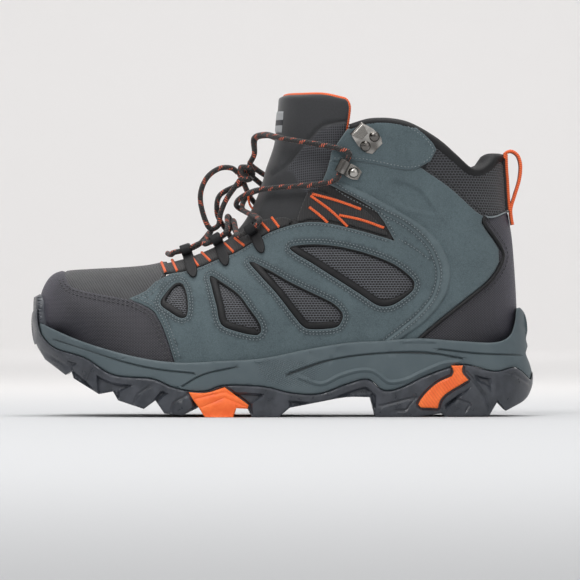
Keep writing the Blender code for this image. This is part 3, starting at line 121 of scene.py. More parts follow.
WINDOWS = [
    [(-74.8, 69.9), (-71, 77.3), (-65.6, 82.6), (-61.4, 82.2), (-58.6, 76.3), (-57.6, 67.7), (-58.6, 61.8),
     (-62.4, 60.9), (-68.8, 64.6)],
    [(-44.2, 86.9), (-34.8, 81.6), (-26.3, 75.2), (-19.9, 66.7), (-14.6, 59.2), (-12.5, 53.9), (-14.6, 50.3),
     (-23.1, 51.2), (-34.8, 55), (-38.4, 59.2), (-40.1, 67.7), (-42.9, 78.4)],
    [(-20.3, 95.4), (-9.3, 91.1), (5.6, 82.6), (18.4, 76.3), (31.1, 69.9), (37.1, 63.5), (36.4, 58.2),
     (32.2, 54.6), (18.4, 53.7), (13, 55.4), (7.7, 61.4), (-2.9, 75.2), (-13.5, 86.9)],
    [(5.2, 104.5), (18.4, 106), (35.4, 104.5), (54.5, 99.6), (69.4, 93.3), (80, 84.8), (81.1, 79.4),
     (77.9, 75.2), (70.5, 69.9), (64.1, 67.7), (57.7, 68.8), (48.1, 75.2), (33.2, 84.8), (18.4, 94.3),
     (7.7, 100.7)],
]
LACE_LOOPS = [((-58, 98.5), (0.30, -0.95)), ((-38.5, 105.6), (0.34, -0.94)), ((-17, 113.2), (0.38, -0.92))]
EYELET_RIVET, EYELET_AIM = (43.8, 149.8), (-0.88, 0.47)
HOOK_RIVETS, HOOK_AIM = ((56.6, 172.0), (51.0, 166.0)), (-0.72, 0.69)

# The raised band that swings round the ankle, by its two edges, and the pressed drop behind it.
BAND_INNER = [
    (29, 144.3), (41.8, 135.8), (60.9, 126.2), (77.9, 116.7), (90.7, 103.9), (96, 89), (92.8, 74.1),
    (82.2, 61.4), (66.2, 48.6), (58, 42),
]
BAND_OUTER = [
    (35.4, 144.3), (50.3, 137.9), (69.4, 127.3), (86.4, 116.7), (98.1, 103.9), (103.4, 89), (100.2, 74.1),
    (88.5, 59.2), (73.7, 48.2), (64, 40),
]


# ---------------------------------------------------------------- plane curves


def catmull(a, b, c, d, t):
    return (2 * b + (c - a) * t + (2 * a - 5 * b + 4 * c - d) * t**2 + (3 * b - a - 3 * c + d) * t**3) / 2


def curve(points, step=7.0):
    """The points joined by smooth runs that break at the corners, as an (n, 2) array."""
    marks = [0] + [i for i in range(1, len(points) - 1) if len(points[i]) > 2] + [len(points) - 1]
    xy = np.array([p[:2] for p in points], float)
    out = [xy[:1]]
    for first, last in zip(marks, marks[1:]):
        run = xy[first : last + 1]
        run = np.vstack([2 * run[0] - run[1], run, 2 * run[-1] - run[-2]])
        for a, b, c, d in zip(run, run[1:], run[2:], run[3:]):
            count = max(1, round(np.linalg.norm(c - b) / step))
            out.append(catmull(a, b, c, d, (np.arange(1, count + 1) / count)[:, None]))
    return np.vstack(out)


def closed_curve(points, step=2.0):
    """A smooth closed outline through the points."""
    xy = np.array([p[:2] for p in points], float)
    out = []
    for i in range(len(xy)):
        a, b, c, d = (xy[(i + k - 1) % len(xy)] for k in range(4))
        count = max(1, round(np.linalg.norm(c - b) / step))
        out.append(catmull(a, b, c, d, (np.arange(count) / count)[:, None]))
    return np.vstack(out)


def along(line):
    return np.concatenate([[0], np.cumsum(np.linalg.norm(np.diff(line, axis=0), axis=1))])


def nearest(line, points, block=4000):
    """Signed distance to a polyline, positive on its right, the way from it, and the place along it."""
    points = np.atleast_2d(points)
    a, b = line[:-1], line[1:]
    ab = b - a
    lengths = np.maximum((ab**2).sum(1), 1e-12)
    out = []
    for start in range(0, len(points), block):
        some = points[start : start + block]
        t = np.clip(((some[:, None] - a) * ab).sum(2) / lengths, 0, 1)
        foot = a + t[..., None] * ab
        apart = ((some[:, None] - foot) ** 2).sum(2)
        best = apart.argmin(axis=1)
        rows = np.arange(len(some))
        away = some - foot[rows, best]
        sign = np.where(away[:, 0] * ab[best, 1] - away[:, 1] * ab[best, 0] >= 0, 1.0, -1.0)
        where = along(line)[best] + t[rows, best] * np.sqrt(lengths[best])
        out.append(np.column_stack([sign * np.sqrt(apart[rows, best]), away, where]))
    out = np.vstack(out)
    return out[:, 0], out[:, 1:3], out[:, 3]


def distance(line, points):
    return np.abs(nearest(line, points)[0])


def shifted(line, by):
    """The polyline moved sideways: a positive amount moves it to its left."""
    tangent = np.gradient(line, axis=0)
    tangent /= np.linalg.norm(tangent, axis=1)[:, None]
    return line + by * np.stack([-tangent[:, 1], tangent[:, 0]], axis=1)


def part_of(line, start, end):
    """The stretch of a polyline between the feet of two points on it, running from start to end."""
    length = along(line)
    (from_length,), (to_length,) = nearest(line, start)[2], nearest(line, end)[2]
    low, high = sorted((from_length, to_length))
    inner = length[(length > low + 0.3) & (length < high - 0.3)]
    stops = np.concatenate([[low], inner, [high]])
    out = np.stack([np.interp(stops, length, line[:, k]) for k in (0, 1)], axis=1)
    return out if from_length <= to_length else out[::-1]


def inside(outline, points):
    x, z = points[:, 0:1], points[:, 1:2]
    ax, az = outline.T
    bx, bz = np.roll(outline, -1, axis=0).T
    with np.errstate(divide="ignore", invalid="ignore"):
        crossing = ((az > z) != (bz > z)) & (x < (bx - ax) * (z - az) / (bz - az) + ax)
    return crossing.sum(axis=1) % 2 == 1


def smoothstep(value, low, high):
    t = np.clip((value - low) / (high - low), 0, 1)
    return t * t * (3 - 2 * t)


def resampled(line, step):
    """The polyline with evenly spaced points; works in the side view and in space."""
    length = along(line)
    count = max(2, round(length[-1] / step) + 1)
    stops = np.linspace(0, length[-1], count)
    return np.stack([np.interp(stops, length, line[:, k]) for k in range(line.shape[1])], axis=1)


STEP = 2.2
FRONT = curve(FRONT_RIDGE, STEP)
BACK = curve(BACK_RIDGE, STEP)[::-1]
FLOOR_LINE = curve(FLOOR, STEP)
FEATHER_LINE = curve(FEATHER, STEP)
PARTING_LINE = curve(SOLE_PARTING, STEP)


# ---------------------------------------------------------------- the last


def centre_line(x):
    """Y of the middle of the last: the toe leans to the inner side."""
    return np.interp(x, [-155, -125, -95, -60, -30, 0, 50, 100, 155],
                     [7, 5.3, 2, -1, -2.6, -3.2, -2.4, -1, -1])


def half_width(x, z):
    """Half the last's width where its sides are upright."""
    sole = np.interp(
        x,
        [-155, -120, -90, -60, -30, 0, 30, 60, 90, 120, 155],
        [48, 50.5, 52.5, 53, 50.5, 46.5, 43, 40.5, 39, 38, 37.5],
    )
    shaft = 36 + 2 * smoothstep(z, 150, 195)
    up = smoothstep(z, 60, 130) * smoothstep(x, -60, 10)
    return sole * (1 - up) + shaft * up


def front_rounding(x):
    return np.interp(x, [-150, -115, -80, -40, -5, 30], [47, 50, 66, 66, 48, 42])


def rounding(t):
    return np.sqrt(np.maximum(1 - (1 - np.clip(t, 0, 1)) ** 2, 0))


def blurred(values, radius):
    """A grid smoothed by a bell curve along both axes."""
    reach = np.arange(-3 * radius, 3 * radius + 1)
    bell = np.exp(-0.5 * (reach / radius) ** 2)
    bell /= bell.sum()
    for axis in (0, 1):
        pad = [(3 * radius, 3 * radius) if k == axis else (0, 0) for k in (0, 1)]
        padded = np.pad(values, pad, mode="edge")
        values = np.apply_along_axis(lambda row: np.convolve(row, bell, "valid"), axis, padded)
    return values


GRID_X = np.arange(-166.0, 167.0)
GRID_Z = np.arange(18.0, 246.0)


def last_fields():
    """The squared roundness over the side view, 0 on the silhouettes and 1 in the middle, and its slopes."""
    grid = np.stack(np.meshgrid(GRID_X, GRID_Z, indexing="ij"), axis=-1).reshape(-1, 2)
    near_front = nearest(FRONT, grid)[0]
    near_back = nearest(BACK, grid)[0]

    def rounded(near, radius):
        t = np.minimum(near / radius, 1)
        return np.where(t > 0, 2 * t - t**2, 2 * t)

    front = rounded(near_front, front_rounding(grid[:, 0]))
    back = rounded(near_back, HEEL_RADIUS)
    shape = (len(GRID_X), len(GRID_Z))
    roundness = np.where((front > 0) & (back > 0), front * back, np.minimum(front, back)).reshape(shape)
    soften = smoothstep(np.minimum(near_front, near_back), 3, 16).reshape(shape)
    roundness = roundness * (1 - soften) + blurred(roundness, 5) * soften
    return roundness, *np.gradient(roundness)


ROUNDNESS, ROUNDNESS_X, ROUNDNESS_Z = last_fields()


def look_up(field, points):
    """Values of a grid over the side view at any points, by bilinear interpolation."""
    x = np.clip(points[:, 0] - GRID_X[0], 0, len(GRID_X) - 1.001)
    z = np.clip(points[:, 1] - GRID_Z[0], 0, len(GRID_Z) - 1.001)
    i, j = x.astype(int), z.astype(int)
    u, v = x - i, z - j
    low = field[i, j] * (1 - u) + field[i + 1, j] * u
    high = field[i, j + 1] * (1 - u) + field[i + 1, j + 1] * u
    return low * (1 - v) + high * v


def on_silhouette(xy):
    return np.minimum(distance(FRONT, xy), distance(BACK, xy)) < ON_RIDGE


def last_surface(side, points, depth=0.0, on_ridge=None):
    """Points on the last's side, sunk by depth along the surface normal, and the outward normals."""
    points = np.atleast_2d(np.asarray(points, float))
    x, z = points[:, 0], points[:, 1]
    on_ridge = on_silhouette(points) if on_ridge is None else on_ridge
    s = np.sqrt(np.maximum(look_up(ROUNDNESS, points), 0))
    s[on_ridge] = 0
    width = half_width(x, z)
    nudge = 1.0
    width_x = (half_width(x + nudge, z) - half_width(x - nudge, z)) / (2 * nudge)
    width_z = (half_width(x, z + nudge) - half_width(x, z - nudge)) / (2 * nudge)
    lean = (centre_line(x + nudge) - centre_line(x - nudge)) / (2 * nudge)
    normal = np.stack(
        [
            -2 * s * side * lean / width - 2 * s**2 * width_x / width - look_up(ROUNDNESS_X, points),
            2 * s * side / width,
            -2 * s**2 * width_z / width - look_up(ROUNDNESS_Z, points),
        ],
        axis=1,
    )
    normal /= np.maximum(np.linalg.norm(normal, axis=1)[:, None], 1e-9)
    base = np.stack([x, centre_line(x) + side * width * s, z], axis=1)
    return base - np.reshape(depth, (-1, 1)) * normal, normal


def last_height(points):
    x, z = points[:, 0], points[:, 1]
    return half_width(x, z) * np.sqrt(np.maximum(look_up(ROUNDNESS, points), 0))


def girth_fields():
    """Arc length over the surface along each grid line, so that a weave keeps its scale round the curves."""
    height = half_width(GRID_X[:, None], GRID_Z[None]) * np.sqrt(np.maximum(ROUNDNESS, 0))
    across_x = np.hypot(1.0, np.diff(height, axis=0))
    across_z = np.hypot(1.0, np.diff(height, axis=1))
    u = np.vstack([np.zeros((1, len(GRID_Z))), np.cumsum(across_x, axis=0)])
    v = np.hstack([np.zeros((len(GRID_X), 1)), np.cumsum(across_z, axis=1)])
    middle = np.searchsorted(GRID_X, 0.0)
    level = np.searchsorted(GRID_Z, 60.0)
    return u - u[middle], v - v[:, level : level + 1]


GIRTH_U, GIRTH_V = girth_fields()


def sole_half_width(points, inset=0.0):
    """Half the sole's width: upright walls with a round toe and heel."""
    x, z = points[:, 0], points[:, 1]
    toe = np.interp(z, [0, 25, 35, 50, 61, 80], [-150, -150, -152, -154.2, -155, -155]) + inset
    heel = np.interp(z, [0, 12, 27, 40, 60, 70], [153, 154.5, 155, 152.6, 150.4, 150]) - inset
    flare = SOLE_FLARE - inset + 1.0 * smoothstep(-z, -30, 0)
    width = half_width(x, np.zeros_like(x)) + flare
    return width * rounding((x - toe) / TOE_RADIUS) * rounding((heel - x) / (HEEL_RADIUS + 6))


# ---------------------------------------------------------------- meshes


def new_piece(name, mesh, body, slot, look, *nodes):
    """Puts a mesh in the scene as a finished piece that rides on a body and stands for CAD nodes."""
    mesh.materials.append(look)
    piece = bpy.data.objects.new(name, mesh)
    bpy.context.scene.collection.objects.link(piece)
    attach(piece, body)
    if nodes:
        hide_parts(*nodes)
    return piece


def mesh_of(name, points, faces, weave=None, edge=None, mark=None, weld=0.02, sharp=50, painted_light=None):
    """A mesh from millimetre points, with cloth coordinates, edge distances, marks and painted light as
    attributes.
    """
    mesh = bpy.data.meshes.new(name)
    mesh.from_pydata((np.asarray(points) * MM).tolist(), [], [list(f) for f in faces])
    for title, values in (("edge", edge), ("mark", mark), ("painted_light", painted_light)):
        if values is not None:
            mesh.attributes.new(title, "FLOAT", "POINT").data.foreach_set("value",
                                                                          np.asarray(values, np.float32))
    if weave is not None:
        weave = np.column_stack([weave,
                                 np.zeros(len(weave))]) if np.shape(weave)[1] == 2 else np.asarray(weave)
        store = mesh.attributes.new("weave", "FLOAT_VECTOR", "POINT").data
        store.foreach_set("vector", weave.astype(np.float32).ravel())
    build = bmesh.new()
    build.from_mesh(mesh)
    bmesh.ops.remove_doubles(build, verts=build.verts, dist=weld * MM)
    bmesh.ops.dissolve_degenerate(build, edges=build.edges, dist=1e-7)
    bmesh.ops.recalc_face_normals(build, faces=build.faces)
    if build.calc_volume(signed=True) < 0:
        bmesh.ops.reverse_faces(build, faces=build.faces)
    build.to_mesh(mesh)
    build.free()
    mesh.shade_smooth()
    if sharp:
        mesh.set_sharp_from_angle(angle=math.radians(sharp))
    return mesh


def edge_distance(loops, points):
    return np.min([distance(np.vstack([loop, loop[:1]]), points) for loop in loops], axis=0)


def fill(loops, extra, need):
    """Triangles over an outline with holes, using the extra points that lie far enough inside it."""
    outline, holes = loops[0], loops[1:]
    wanted = inside(outline, extra)
    for hole in holes:
        wanted &= ~inside(hole, extra)
    wanted[wanted] &= edge_distance(loops, extra[wanted]) > need[wanted]
    points = np.vstack([*loops, extra[wanted]])
    edges, start = [], 0
    for loop in loops:
        edges += [(start + i, start + (i + 1) % len(loop)) for i in range(len(loop))]
        start += len(loop)
    verts, _, faces, *_ = delaunay_2d_cdt([tuple(p) for p in points], edges, [], 0, 1e-6)
    xy = np.array([tuple(v) for v in verts])
    faces = np.array([tuple(f) for f in faces])
    middle = xy[faces].mean(axis=1)
    keep = inside(outline, middle)
    for hole in holes:
        keep &= ~inside(hole, middle)
    return xy, faces[keep]


def rim(faces):
    """The edges that belong to one face only, in the direction of that face."""
    edges = np.vstack([faces[:, [0, 1]], faces[:, [1, 2]], faces[:, [2, 0]]])
    seen = set(map(tuple, edges))
    return [edge for edge in seen if edge[::-1] not in seen]


def form_points(spacing, deepest=9.0):
    """Side-view points that carry the last's curvature: rows close to the silhouettes, then a plain grid."""
    rows = []
    for line, radius in ((FRONT, 52.0), (BACK, HEEL_RADIUS)):
        turns = np.arange(1, 40) * spacing / radius
        for depth in radius * (1 - np.cos(turns)):
            if depth < deepest:
                row = resampled(shifted(line, -depth), spacing)
                rows.append(row[nearest(line, row)[0] > depth * 0.93])
    grid = np.stack(np.meshgrid(np.arange(-152, 152, spacing), np.arange(24, 205, spacing * 0.9)), axis=-1)
    grid[1::2, :, 0] += spacing / 2
    grid = grid.reshape(-1, 2).astype(float)
    deep = np.minimum(nearest(FRONT, grid)[0], nearest(BACK, grid)[0]) > deepest + spacing * 0.4
    return np.vstack([*rows, grid[deep]])


FINE, COARSE = form_points(2.3), form_points(4.5)
EDGE_ROWS = (0.3, 0.8, 1.6, 2.8)


def refined(outline, longest=2.6):
    """The outline with points added where its stretches are long on the last's surface."""
    out = [outline]
    for _ in range(7):
        ends = np.roll(outline, -1, axis=0)
        apart = np.linalg.norm(last_surface(LATERAL, outline)[0] - last_surface(LATERAL, ends)[0], axis=1)
        long = (apart > longest) & (np.linalg.norm(ends - outline, axis=1) > 0.04)
        if not long.any():
            break
        pieces = []
        for start, end, cut in zip(outline, ends, long):
            pieces.append(start)
            if cut:
                pieces.append((start + end) / 2)
        outline = np.array(pieces)
        out.append(outline)
    return outline


def rows_inside(loops, rows):
    """Points in rows just inside every edge of an outline, with the distance that each has to keep."""
    points, need = [np.zeros((0, 2))], [np.zeros(0)]
    for loop in loops:
        ring = np.vstack([loop, loop[:1]])
        for row in rows:
            for by in (row, -row):
                line = shifted(resampled(ring, 1.6 + row * 0.3), by)
                points.append(line)
                need.append(np.full(len(line), row * 0.9))
    return np.vstack(points), np.concatenate(need)


def edge_roll(near, radius, drop):
    """How far a face falls away towards its edge."""
    return drop * (1 - rounding(near / radius))


def shell(name, outline, sides, top=0.0, bottom=SKIN, holes=(), roll=(0.9, 0.7), features=(), relief=None,
          form=None, mark=None, painted_light=None):  # fmt: skip
    """A closed shell on the last between two depths, with rounded edges and any relief in its outer face.

    Features are lines that the mesh follows, as (polyline, reach). Relief is the height over the plain face.
    """
    form = FINE if form is None else form
    loops = [refined(outline), *holes]
    mirrored = len(sides) > 1
    rows, need = rows_inside(loops, EDGE_ROWS)
    near_open = open_edge_distance(loops, rows, mirrored) < need * 1.5 + 0.05
    extra, keep = [rows[near_open]], [need[near_open]]
    busy = np.full(len(form), np.inf)
    for line, reach in features:
        line = resampled(line, 1.4)
        for by in (-reach, -reach / 2, 0, reach / 2, reach):
            row = shifted(line, by)
            extra.append(row)
            keep.append(np.full(len(row), 0.5))
        busy = np.minimum(busy, distance(line, form) - reach)
    clear = open_edge_distance(loops, form, mirrored) > EDGE_ROWS[-1] + 1.0
    free = form[(busy > 1.0) & clear]
    extra.append(free)
    keep.append(np.full(len(free), 0.02))
    xy, faces = fill(loops, np.vstack(extra), np.concatenate(keep))
    on_ridge = on_silhouette(xy)
    edge = open_edge_distance(loops, xy, mirrored)
    upper = np.broadcast_to(np.asarray(top(xy) if callable(top) else top, float), len(xy))
    lower = np.broadcast_to(np.asarray(bottom(xy) if callable(bottom) else bottom, float), len(xy))
    radius, drop = roll
    upper = upper + edge_roll(edge, radius, drop)
    if relief is not None:
        upper = upper - relief(xy) * smoothstep(edge, 0.2, 1.2)
    if len(sides) > 1:
        faces = faces[~on_ridge[faces].all(axis=1)]
    border = rim(faces)
    weave = np.column_stack([look_up(GIRTH_U, xy), look_up(GIRTH_V, xy)])
    points, all_faces = [], []
    count = len(xy)
    for number, side in enumerate(sides):
        base = 2 * number * count
        for depth in (upper, lower):
            points.append(last_surface(side, xy, depth, on_ridge)[0])
        all_faces += (faces + base).tolist() + (faces[:, ::-1] + base + count).tolist()
        for a, b in border:
            if not (len(sides) > 1 and on_ridge[a] and on_ridge[b]):
                all_faces.append((base + b, base + a, base + count + a, base + count + b))
    times = 2 * len(sides)
    marks, painted_lights = (np.tile(values(xy), times) if values else None for values in (mark, painted_light))
    weave, edge = np.tile(weave, (times, 1)), np.tile(edge, times)
    return mesh_of(name, np.vstack(points), all_faces, weave, edge, marks, painted_light=painted_lights)


def open_edge_distance(loops, xy, mirrored):
    """Distance to the outline, leaving out the stretches on a silhouette where two halves join."""
    near = np.full(len(xy), 60.0)
    for loop in loops:
        ring = np.vstack([loop, loop[:1]])
        if not mirrored:
            near = np.minimum(near, distance(ring, xy))
            continue
        ridge = on_silhouette(ring)
        start = 0
        joins = ridge[:-1] & ridge[1:]
        for i in range(len(joins) + 1):
            if i == len(joins) or joins[i]:
                if i > start:
                    near = np.minimum(near, distance(ring[start : i + 1], xy))
                start = i + 1
    return near


def wall(name, outline, width, side=None, inner=None, roll=(1.2, 1.0), features=(), relief=None,
         spacing=3.0, mark=None, painted_light=None):  # fmt: skip
    """A side-view outline drawn across the boot as a closed solid, with rounded edges and side relief."""
    outline = np.vstack([resampled(np.vstack([a, b]), 2.2)[:-1] for a,
                         b in zip(outline, np.roll(outline, -1, 0))])
    low, high = outline.min(axis=0), outline.max(axis=0)
    turn = np.linspace(0.06, 1.5, 24)
    toe = low[0] + TOE_RADIUS * (1 - np.cos(turn))
    heel = high[0] - (HEEL_RADIUS + 6) * (1 - np.cos(turn))
    xs = np.concatenate([toe, np.arange(toe[-1] + spacing, heel[-1] - spacing / 2, spacing), heel[::-1]])
    grid = np.stack(np.meshgrid(xs, np.arange(low[1] + 1, high[1], spacing)), axis=-1).reshape(-1, 2)
    rows, need = rows_inside([outline], (0.35, 0.9, 1.8))
    extra, keep = [rows], [need]
    busy = np.full(len(grid), np.inf)
    for line, reach in features:
        line = resampled(line, 1.4)
        for by in (-reach, -reach / 2, 0, reach / 2, reach):
            row = shifted(line, by)
            extra.append(row)
            keep.append(np.full(len(row), 0.5))
        busy = np.minimum(busy, distance(line, grid) - reach)
    free = grid[busy > 1.0]
    extra.append(free)
    keep.append(np.full(len(free), 2.6))
    xy, faces = fill([outline], np.vstack(extra), np.concatenate(keep))
    edge = edge_distance([outline], xy)
    radius, drop = roll
    half = width(xy) - edge_roll(edge, radius, drop)
    if relief is not None:
        half = half + relief(xy) * smoothstep(edge, 0.2, 1.2)
    half = np.maximum(half, 0.05)
    middle = centre_line(xy[:, 0])
    ends = (middle - half, middle + half) if side is None else (middle + side * half,
                                                                middle + side * (half - inner))
    count = len(xy)
    points = np.vstack([np.stack([xy[:, 0], y, xy[:, 1]], axis=1) for y in ends])
    all_faces = faces.tolist() + (faces[:, ::-1] + count).tolist()
    all_faces += [(b, a, count + a, count + b) for a, b in rim(faces)]
    marks, painted_lights = (np.tile(values(xy), 2) if values else None for values in (mark, painted_light))
    return mesh_of(name, points, all_faces, np.tile(xy, (2, 1)), np.tile(edge, 2), marks, sharp=35,
                   painted_light=painted_lights)


def frames_along(path, up):
    """Tangent, side and up directions along a path in space, with up as near as can be to the given one."""
    tangent = np.gradient(path, axis=0)
    tangent /= np.linalg.norm(tangent, axis=1)[:, None]
    up = np.broadcast_to(np.asarray(up, float), path.shape)
    side = np.cross(tangent, up)
    side /= np.maximum(np.linalg.norm(side, axis=1)[:, None], 1e-9)
    return tangent, side, np.cross(side, tangent)


def rolling_frames(path):
    """Side directions along a path that turn as little as they can, for round tubes."""
    tangent = np.gradient(path, axis=0)
    tangent /= np.linalg.norm(tangent, axis=1)[:, None]
    side = np.cross(tangent[0], (0.31, 0.17, 0.93))
    out = []
    for direction in tangent:
        side = side - direction * (side @ direction)
        side /= np.linalg.norm(side)
        out.append(side)
    side = np.array(out)
    return side, np.cross(tangent, side)


def swept(name, rings, closed_ends=True, weave=None, edge=None, mark=None, sharp=50):
    """A closed skin through rings of points, as an (n, m, 3) array."""
    rings = np.asarray(rings)
    rows, around = rings.shape[:2]
    index = np.arange(rows * around).reshape(rows, around)
    a, b = index[:-1], index[1:]
    faces = np.stack([a, np.roll(a, -1, 1), np.roll(b, -1, 1), b], axis=-1).reshape(-1, 4).tolist()
    if closed_ends:
        faces += [index[0][::-1].tolist(), index[-1].tolist()]
    flat = None if weave is None else np.asarray(weave).reshape(-1, 2)
    return mesh_of(name, rings.reshape(-1, 3), faces, flat, edge, mark, sharp=sharp)


def tube_rings(path, radius, around=14):
    path = np.asarray(path, float)
    side, up = rolling_frames(path)
    turn = 2 * np.pi * np.arange(around) / around
    radius = np.broadcast_to(np.asarray(radius, float), len(path))
    rings = path[:, None] + radius[:, None, None] * (
        side[:, None] * np.cos(turn)[None, :, None] + up[:, None] * np.sin(turn)[None, :, None]
    )
    weave = np.stack(np.broadcast_arrays(along(path)[:, None], turn[None]), axis=-1)
    return rings, weave


def tube(name, path, radius, around=14):
    """A round tube; its cloth coordinates are the length in millimetres and the turn in radians."""
    rings, weave = tube_rings(path, radius, around)
    return swept(name, rings, True, weave, sharp=60)


def strap_rings(path, up, width, thickness, corner=4):
    """Rings of a flat strap with round edges, and its cloth coordinates."""
    path = np.asarray(path, float)
    _, side, up = frames_along(path, up)
    width = np.broadcast_to(np.asarray(width, float), len(path))
    turn = np.linspace(-np.pi / 2, np.pi / 2, corner)
    flat = np.linspace(-1, 1, 9)[1:-1]
    right = [(1, math.cos(t), math.sin(t)) for t in turn]
    left = [(-1, -math.cos(t), -math.sin(t)) for t in turn]
    profile = right + [(f, 0, 1) for f in flat[::-1]] + left + [(f, 0, -1) for f in flat]
    rings, weave = [], []
    for k, (place, s, u, w) in enumerate(zip(path, side, up, width)):
        half = max(w / 2 - thickness / 2, 0.05)
        rings.append([place + s * (a * half + b * thickness / 2) + u * c * thickness / 2 for a, b,
                      c in profile])
        weave.append([(along(path)[k], a * half + b * thickness / 2) for a, b, c in profile])
    return np.array(rings), np.array(weave)


def strap(name, path, up, width, thickness):
    rings, weave = strap_rings(path, up, width, thickness)
    width = np.broadcast_to(np.asarray(width, float), len(rings))
    edge = (width[:, None] / 2 - np.abs(weave[..., 1])).ravel()
    return swept(name, rings, True, weave, edge, sharp=60)


def lathe_mesh(name, profile, origin, axis, around=32):
    """A round solid from (radius, height) points, its axis through origin."""
    axis = np.asarray(axis, float) / np.linalg.norm(axis)
    first = np.cross(axis, [0.3, 0.1, 0.9])
    first /= np.linalg.norm(first)
    second = np.cross(axis, first)
    turn = 2 * np.pi * np.arange(around) / around
    spokes = np.cos(turn)[:, None] * first + np.sin(turn)[:, None] * second
    rings = [origin + height * axis + radius * spokes for radius, height in profile]
    return swept(name, rings, sharp=45)


def smooth_path(points, step):
    """A smooth line through points in space, with about a step between points."""
    points = np.asarray(points, float)
    knots = np.cumsum([0, *np.sqrt(np.linalg.norm(np.diff(points, axis=0), axis=1))])
    knots = np.concatenate([[2 * knots[0] - knots[1]], knots, [2 * knots[-1] - knots[-2]]])
    ends = np.vstack([2 * points[0] - points[1], points, 2 * points[-1] - points[-2]])
    out = []
    for i in range(1, len(ends) - 2):
        run, at = ends[i - 1 : i + 3], knots[i - 1 : i + 3]
        count = max(1, round(np.linalg.norm(run[2] - run[1]) / step))
        for t in at[1] + (at[2] - at[1]) * np.arange(count) / count:
            level = list(run)
            for depth in (1, 2, 3):
                level = [
                    ((at[k + depth] - t) * level[k] + (t - at[k]) * level[k + 1]) / (at[k + depth] - at[k])
                    if depth < 3
                    else ((at[2] - t) * level[k] + (t - at[1]) * level[k + 1]) / (at[2] - at[1])
                    for k in range(4 - depth)
                ]
            out.append(level[0])
    return np.vstack([*out, points[-1]])


# ---------------------------------------------------------------- materials


class Graph:
    """A small helper that strings shader nodes together."""

    def __init__(self, name, rough=0.8, metallic=0.0, sheen=0.0):
        self.material = bpy.data.materials.new(name)
        self.material.use_nodes = True
        self.tree = self.material.node_tree
        self.shader = self.tree.nodes["Principled BSDF"]
        self.shader.inputs["Roughness"].default_value = rough
        self.shader.inputs["Metallic"].default_value = metallic
        if sheen:
            self.shader.inputs["Sheen Weight"].default_value = sheen
            self.shader.inputs["Sheen Roughness"].default_value = 0.5

    def put(self, socket, value):
        if isinstance(value, bpy.types.NodeSocket):
            self.tree.links.new(value, socket)
        else:
            socket.default_value = value

    def math(self, kind, a, b=0.0, c=None):
        node = self.tree.nodes.new("ShaderNodeMath")
        node.operation = kind
        for socket, value in zip(node.inputs, (a, b, c)):
            if value is not None:
                self.put(socket, value)
        return node.outputs[0]

    def add(self, a, b):
        return self.math("ADD", a, b)

    def times(self, a, b):
        return self.math("MULTIPLY", a, b)

    def less(self, a, b):
        return self.math("SUBTRACT", a, b)

    def place(self):
        """Position on the object, in millimetres."""
        coord = self.tree.nodes.new("ShaderNodeTexCoord")
        scale = self.tree.nodes.new("ShaderNodeVectorMath")
        scale.operation = "SCALE"
        scale.inputs["Scale"].default_value = 1000.0
        self.tree.links.new(coord.outputs["Object"], scale.inputs[0])
        return scale.outputs[0]

    def attribute(self, name):
        node = self.tree.nodes.new("ShaderNodeAttribute")
        node.attribute_name = name
        return node

    def weave_axes(self):
        split = self.tree.nodes.new("ShaderNodeSeparateXYZ")
        self.tree.links.new(self.attribute("weave").outputs["Vector"], split.inputs[0])
        return split.outputs[0], split.outputs[1]

    def noise(self, vector, scale, detail=3.0, rough=0.5):
        node = self.tree.nodes.new("ShaderNodeTexNoise")
        self.tree.links.new(vector, node.inputs["Vector"])
        node.inputs["Scale"].default_value = scale
        node.inputs["Detail"].default_value = detail
        node.inputs["Roughness"].default_value = rough
        return node.outputs[0]

    def ramp(self, value, low, high, start=0.0, end=1.0):
        """Values from start to end as the input goes from low to high, smoothly."""
        node = self.tree.nodes.new("ShaderNodeMapRange")
        node.interpolation_type = "SMOOTHSTEP"
        for name, amount in (("From Min", low), ("From Max", high), ("To Min", start), ("To Max", end)):
            node.inputs[name].default_value = amount
        self.tree.links.new(value, node.inputs["Value"])
        return node.outputs[0]

    def mix(self, share, a, b):
        node = self.tree.nodes.new("ShaderNodeMix")
        node.data_type = "RGBA"
        for socket, value in zip((node.inputs[0], node.inputs[6], node.inputs[7]), (share, a, b)):
            self.put(socket, (*value, 1) if isinstance(value, tuple) else value)
        return node.outputs[2]

    def finish(self, colour, height=None, strength=0.5, distance=0.5, rough=None):
        self.put(self.shader.inputs["Base Color"], (*colour, 1) if isinstance(colour, tuple) else colour)
        if height is not None:
            bump = self.tree.nodes.new("ShaderNodeBump")
            bump.inputs["Strength"].default_value = strength
            bump.inputs["Distance"].default_value = distance * MM
            self.tree.links.new(height, bump.inputs["Height"])
            self.tree.links.new(bump.outputs[0], self.shader.inputs["Normal"])
        if rough is not None:
            self.tree.links.new(rough, self.shader.inputs["Roughness"])
        return self.material


def plain_weave(g, pitch_u, pitch_v):
    """Height of a plain weave, 0 between threads and 1 on their crowns, and which thread is on top."""
    u, v = g.weave_axes()
    u, v = g.times(u, 1 / pitch_u), g.times(v, 1 / pitch_v)
    parity = g.math("MODULO", g.math("ABSOLUTE", g.add(g.math("FLOOR", u), g.math("FLOOR", v))), 2.0)
    fu = g.less(g.math("FRACT", u), 0.5)
    fv = g.less(g.math("FRACT", v), 0.5)
    crown_u = g.less(1.0, g.times(g.times(fu, fu), 4.0))
    crown_v = g.less(1.0, g.times(g.times(fv, fv), 4.0))
    over = g.add(g.times(crown_u, g.add(g.times(crown_v, 0.45), 0.55)), 0.0)
    under = g.add(g.times(crown_v, g.add(g.times(crown_u, 0.45), 0.55)), 0.0)
    height = g.add(g.times(over, parity), g.times(under, g.less(1.0, parity)))
    return height, parity


def edge_value(g):
    return g.attribute("edge").outputs["Fac"]


